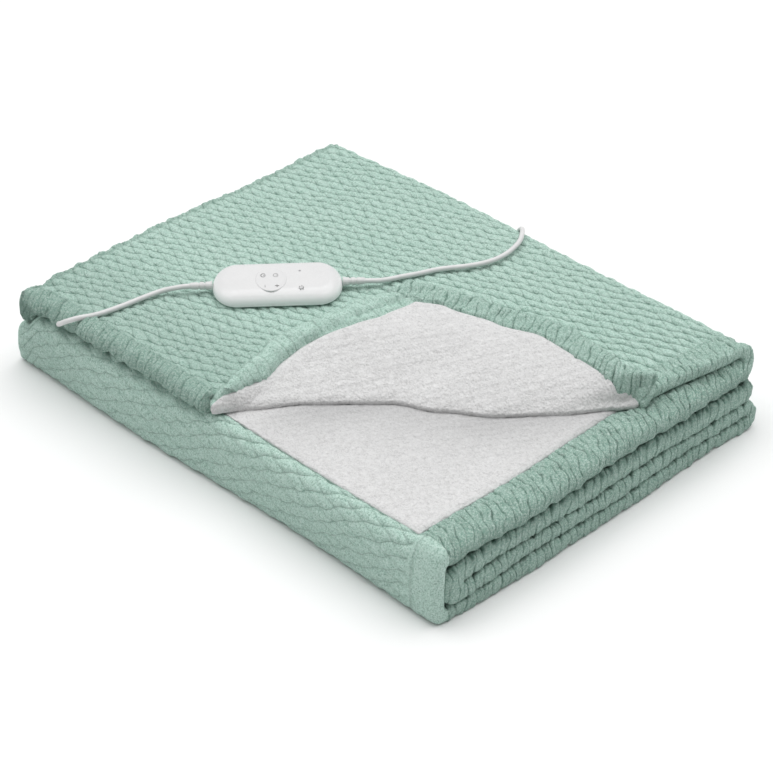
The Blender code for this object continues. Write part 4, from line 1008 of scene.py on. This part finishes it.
def makeLowerWhite():
    # it goes on under the turned-back corner, further towards the side hem
    count, places = white["lower"]
    rows = []
    for station in np.linspace(*corner["lowerWhiteX"], count):
        runs = section(station, {"bed": 110, "panel": 110})
        bed, panel = named(runs, "bed"), named(runs, "panel")
        known = np.concatenate([bed["second"], panel["second"]])
        reach = mix(*white["lowerReach"], smooth(station, *white["lowerReachX"]))
        ys = np.linspace(known[0, 0], panel["second"][0, 0] + reach, places)
        rows.append(settled(station, dict(bed, share=0.0), rowsOf(ys, np.interp(ys, *known.T))))
    rows = np.stack(rows)
    x, y, z = np.moveaxis(rows, -1, 0)
    away = np.maximum(creaseY(x) - white["shadowGap"] - y, 0.0) / white["shadowFade"]
    level, change = white["shadow"]
    shade = (np.exp(-away ** white["shadowPower"]) * (level + change * np.cos(x * 50.0 - 3.4))
             * smooth(x, *white["shadowX"]))
    return makeWhite("lower_backing", rows, "backing_lower", shade)


def makeCornerWhite():
    # the bend and the bed at close stations, then a grid on them between the white's slanting ends
    stations = np.linspace(*corner["tips"], white["read"])
    rows = []
    for station in stations:
        full = cornerFullness(station)
        runs = section(max(station, corner["start"] + corner["round"]), {"crease": 42, "corner": 60})
        crease, bed = named(runs, "crease"), named(runs, "corner")
        drawn = mix(crease["middle"], crease["second"], full)
        bend = settled(station, crease, drawn)[round(len(drawn) * flap["bendShare"]):]
        ys = np.linspace(bed["second"][0, 0], bed["hemY"] + corner["hemRun"], white["bed"])
        heights = mix(np.interp(ys, *bed["middle"].T), bed["bed"](ys), full)
        along = np.append(0.0, np.cumsum(np.linalg.norm(np.diff(bend, axis=0), axis=1)))
        wanted = np.linspace(0.0, along[-1], white["bend"])
        bend = np.stack([np.interp(wanted, along, column) for column in bend.T], 1)
        rows.append(np.concatenate([bend, settled(station, dict(bed, share=0.0), rowsOf(ys, heights))[1:]]))
    rows = np.stack(rows)
    joint = white["bend"] - 1
    up = np.append(np.linspace(0.0, 0.5, white["bend"]),
                   np.interp(np.arange(white["bed"] - 1), (0.0, white["widening"]), (0.5, 1.0)))
    left, right = whiteEnds(up, rows[white["typical"], :, 1])
    grid = np.empty((white["made"], *rows.shape[1:]))
    for column in range(rows.shape[1]):
        wanted = np.linspace(left[column], right[column], len(grid))
        for i in range(3):
            grid[:, column, i] = np.interp(wanted, stations, rows[:, column, i])
    # bend and bed run into each other in a soft curve
    soft = bump(np.arange(rows.shape[1]), joint, white["softReach"])[None, 1:-1, None]
    for _ in range(white["softening"]):
        grid[:, 1:-1] += soft * 0.25 * (grid[:, :-2] + grid[:, 2:] - 2.0 * grid[:, 1:-1])
    beside = np.exp(-np.maximum(grid[..., 1] - grid[:, joint:joint + 1, 1], 0.0) / white["bendFade"])
    shade = white["bendShade"] * beside * smooth(grid[..., 0], *white["bendX"])
    return makeWhite("corner_backing", grid, "backing_turned_corner", shade)


innerFolds = makeInnerFolds()
nearWrap = makeWrap()
middlePanel = makePanel()
topLayer = makeTop()
turnedCorner = makeCorner()
lowerWhite = makeLowerWhite()
cornerWhite = makeCornerWhite()
print("cloth folded")


# hand control: a low body with a wide soft edge, a dished keypad and printed symbols

control = {
    "centre": (-0.0995, -0.0410), "turn": 48.3, "base": 0.0883, "half": (0.0620, 0.0318), "endDepth": 0.0230,
    "height": 0.0150, "wall": ((0.0050, 0.0000), (0.0020, 0.0006), (0.0008, 0.0014), (0.0002, 0.0024),
                               (0.0000, 0.0034), (0.0003, 0.0036), (0.0003, 0.0039), (0.0000, 0.0041)),
    "edge": (0.0125, 0.0105), "edgeSteps": 14, "topInsets": (0.004, 0.010),
    "padCentre": (-0.0063, -0.0045), "padHalf": (0.0148, 0.0208),
    "padLevels": ((1.00, -0.0016), (1.00, 0.0002), (0.985, 0.0004), (0.95, 0.0006), (0.91, 0.0005),
                  (0.87, 0.0003), (0.82, 0.0002), (0.60, 0.0004), (0.30, 0.0005)),
    "stroke": 0.00065, "symbolRadius": 0.0022, "symbolStretch": 1.3, "symbolHeight": (-0.0003, 0.0007),
    "power": (-0.0136, 0.0020), "timer": (-0.0017, 0.0018),
    "minus": (-0.0121, -0.0168), "plus": (-0.0007, -0.0168),
    "lampPlace": (0.0222, -0.0210), "lampRing": 0.0021,
}


def controlPlace(along, across, height):
    turn = math.radians(control["turn"])
    along, across = np.asarray(along, float), np.asarray(across, float)
    return np.stack([control["centre"][0] + along * math.cos(turn) - across * math.sin(turn),
                     control["centre"][1] + along * math.sin(turn) + across * math.cos(turn),
                     control["base"] + height + 0.0 * along], -1)


def controlOutline(inset, steps=30):
    # a long body with oval ends
    length, width = control["half"][0] - inset, control["half"][1] - inset
    depth = control["endDepth"] - inset * 0.8
    angle = np.linspace(-math.pi / 2, math.pi / 2, steps)
    along = length - depth + depth * np.cos(angle)
    across = width * np.sin(angle)
    return np.concatenate([along, -along]), np.concatenate([across, -across])


def solidMesh(name, rings):
    return clothMesh(name, rings, rings[..., :2], {})


def makeControlBody(finish):
    width, height = control["edge"]
    low = control["height"] - height
    angles = np.linspace(0.0, math.pi / 2, control["edgeSteps"] + 1)
    levels = [*control["wall"], *[(width * (1.0 - math.cos(a)), low + height * math.sin(a)) for a in angles],
              *[(width + inset, control["height"]) for inset in control["topInsets"]]]
    rings = np.stack([controlPlace(*controlOutline(inset), z) for inset, z in levels])
    return newPiece("control_body", solidMesh("control_body", rings), finish,
                    "control_lower_shell", "control_upper_shell")


def makePad(finish):
    angle = np.linspace(0.0, 2 * math.pi, 64, endpoint=False)
    (x, y), (halfX, halfY) = control["padCentre"], control["padHalf"]
    rings = [controlPlace(x + halfX * share * np.cos(angle), y + halfY * share * np.sin(angle),
                          control["height"] + rise) for share, rise in control["padLevels"]]
    return newPiece("keypad_face", solidMesh("keypad_face", np.stack(rings)), finish, "keypad")


def stroke(points):
    # a printed line: a thin bar along its points, which are places on the control
    points = np.asarray(points, float)
    way = np.gradient(points, axis=0)
    side = np.stack([-way[:, 1], way[:, 0]], -1)
    side = side / np.maximum(np.linalg.norm(side, axis=1, keepdims=True), 1e-9) * control["stroke"] / 2
    low, high = (control["height"] + level for level in control["symbolHeight"])
    rows = [controlPlace(*(points + sign * side).T, height)
            for sign, height in ((-1, low), (1, low), (1, high), (-1, high))]
    return solidMesh("line", np.stack(rows, 1))


def arcOf(centre, radius, start, end, steps=28):
    angle = np.radians(np.linspace(start, end, steps))
    return np.stack([centre[0] + radius * np.cos(angle),
                     centre[1] + radius * control["symbolStretch"] * np.sin(angle)], -1)


def makeSymbols(name, lines, finish):
    whole = bmesh.new()
    for line in lines:
        whole.from_mesh(stroke(line))
    mesh = bpy.data.meshes.new(name)
    whole.to_mesh(mesh)
    whole.free()
    return newPiece(name, mesh, finish)


def symbolLines():
    # power and plus are printed darker than timer, minus and the ring of the second lamp
    radius = control["symbolRadius"]
    power, timer, minus, plus = (np.array(control[name]) for name in ("power", "timer", "minus", "plus"))

    def bar(middle, x, y):
        reach = np.array((radius * x, radius * y))
        return [middle - reach, middle, middle + reach]

    def hand(middle, first, last):
        return [middle, middle + (radius * first, 0.0), middle + (radius * last, 0.0)]

    dark = [arcOf(power, radius, 35, 325), hand(power, 0.6, 1.15), bar(plus, 0.0, 0.9), bar(plus, 0.9, 0.0)]
    pale = [arcOf(timer, radius, 0, 358), hand(timer, 0.3, 0.6), bar(minus, 0.0, 0.8)]
    pale += [arcOf(control["lampPlace"], control["lampRing"], start, start + 30, 5)
             for start in range(0, 360, 60)]
    return dark, pale


# materials of the hand control, the cords' fittings and the plug

def shellMaterial():
    finish, shader, places = newMaterial("white shell", roughness=0.24, level=0.5)
    base = places.noise(60.0, 2.0).between(grey(0.690, 0.002), grey(0.710, 0.001))
    # painted light: the soft edge and the side are painted paler than the top, where they are shaded
    height = places.node("ShaderNodeSeparateXYZ", {}, {0: places}, 2)
    plug(shader, "Base Color", base.blend(grey(0.93, 0.002), height.ramp(0.0970, 0.1031, 1.0, 0.0)))
    grain = places.noise(2600.0, 2.0)
    plug(shader, "Roughness", grain.ramp(0.3, 0.7, 0.20, 0.30))
    plug(shader, "Normal", grain.raised(0.05, 0.0002))
    return finish


def softMaterial(name, low, high, roughness):
    finish, shader, places = newMaterial(name, roughness=roughness, level=0.4)
    plug(shader, "Base Color", places.noise(300.0, 3.0).between(low, high))
    plug(shader, "Normal", places.noise(2200.0, 2.0).raised(0.10, 0.0002))
    return finish


def metalMaterial():
    finish, shader, places = newMaterial("nickelled pins", roughness=0.25, metallic=1.0)
    tone = places.noise(500.0, 3.0)
    plug(shader, "Base Color", tone.between((0.62, 0.60, 0.55), (0.72, 0.70, 0.66)))
    plug(shader, "Roughness", tone.ramp(0.3, 0.7, 0.18, 0.36))
    return finish


shell = shellMaterial()
padFinish = softMaterial("keypad", grey(0.665, 0.002), grey(0.685, 0.002), 0.45)
markFinish = softMaterial("lamp window", grey(0.30, 0.01), grey(0.34, 0.01), 0.35)
lightMark = softMaterial("pale lamp window", grey(0.56, 0.01), grey(0.60, 0.01), 0.35)
darkPrint = softMaterial("grey print", grey(0.24), grey(0.28), 0.5)
palePrint = softMaterial("pale print", grey(0.40), grey(0.44), 0.5)
tieFinish = softMaterial("tie", grey(0.60), grey(0.66), 0.65)
metal = metalMaterial()
controlBody = makeControlBody(shell)
padFace = makePad(padFinish)
darkLines, paleLines = symbolLines()
symbols = makeSymbols("control_symbols", darkLines, darkPrint)
paleSymbols = makeSymbols("control_pale_symbols", paleLines, palePrint)
finishes = {"indicator_lamp_1": markFinish, "indicator_lamp_2": lightMark, "hank_tie": tieFinish,
            "plug_pin_1": metal, "plug_pin_2": metal}
for node in ("blanket_lead_relief", "mains_lead_relief", "plug_strain_relief", "plug_body",
             "plug_pin_sleeve_1", "plug_pin_sleeve_2"):
    finishes[node] = cordFinish
for node, finish in finishes.items():
    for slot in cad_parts[node].material_slots:
        slot.material = finish
print("materials given")


# floor and light

studio = {"world": 0.33, "suns": (("key", (-0.55, -0.35, 1.0), 1.05, 0.9),
                                  ("top", (0.05, 0.35, 1.0), 2.10, 1.2))}


def floorMaterial():
    finish, shader, places = newMaterial("pale floor", roughness=0.7, level=0.2)
    plug(shader, "Base Color", places.noise(3.0, 2.0).between(grey(0.865), grey(0.870)))
    return finish


def makeStage():
    mesh = gridMesh("floor", 2, 2, 6.0)
    mesh.materials.append(floorMaterial())
    floor = bpy.data.objects.new("floor", mesh)
    scene.collection.objects.link(floor)
    world = bpy.data.worlds.new("studio")
    world.use_nodes = True
    light = world.node_tree.nodes["Background"]
    light.inputs[0].default_value = (1, 1, 1, 1)
    light.inputs[1].default_value = studio["world"]
    scene.world = world
    for name, place, strength, angle in studio["suns"]:
        lamp = bpy.data.objects.new(name, bpy.data.lights.new(name, "SUN"))
        lamp.data.angle = angle
        lamp.data.energy = strength
        facing = (-Vector(place)).to_track_quat("-Z", "Y").to_matrix().to_4x4()
        lamp.matrix_world = Matrix.Translation(place) @ facing
        scene.collection.objects.link(lamp)
    scene.view_settings.view_transform = "Standard"


makeStage()
print("stage set")

bpy.context.view_layer.update()
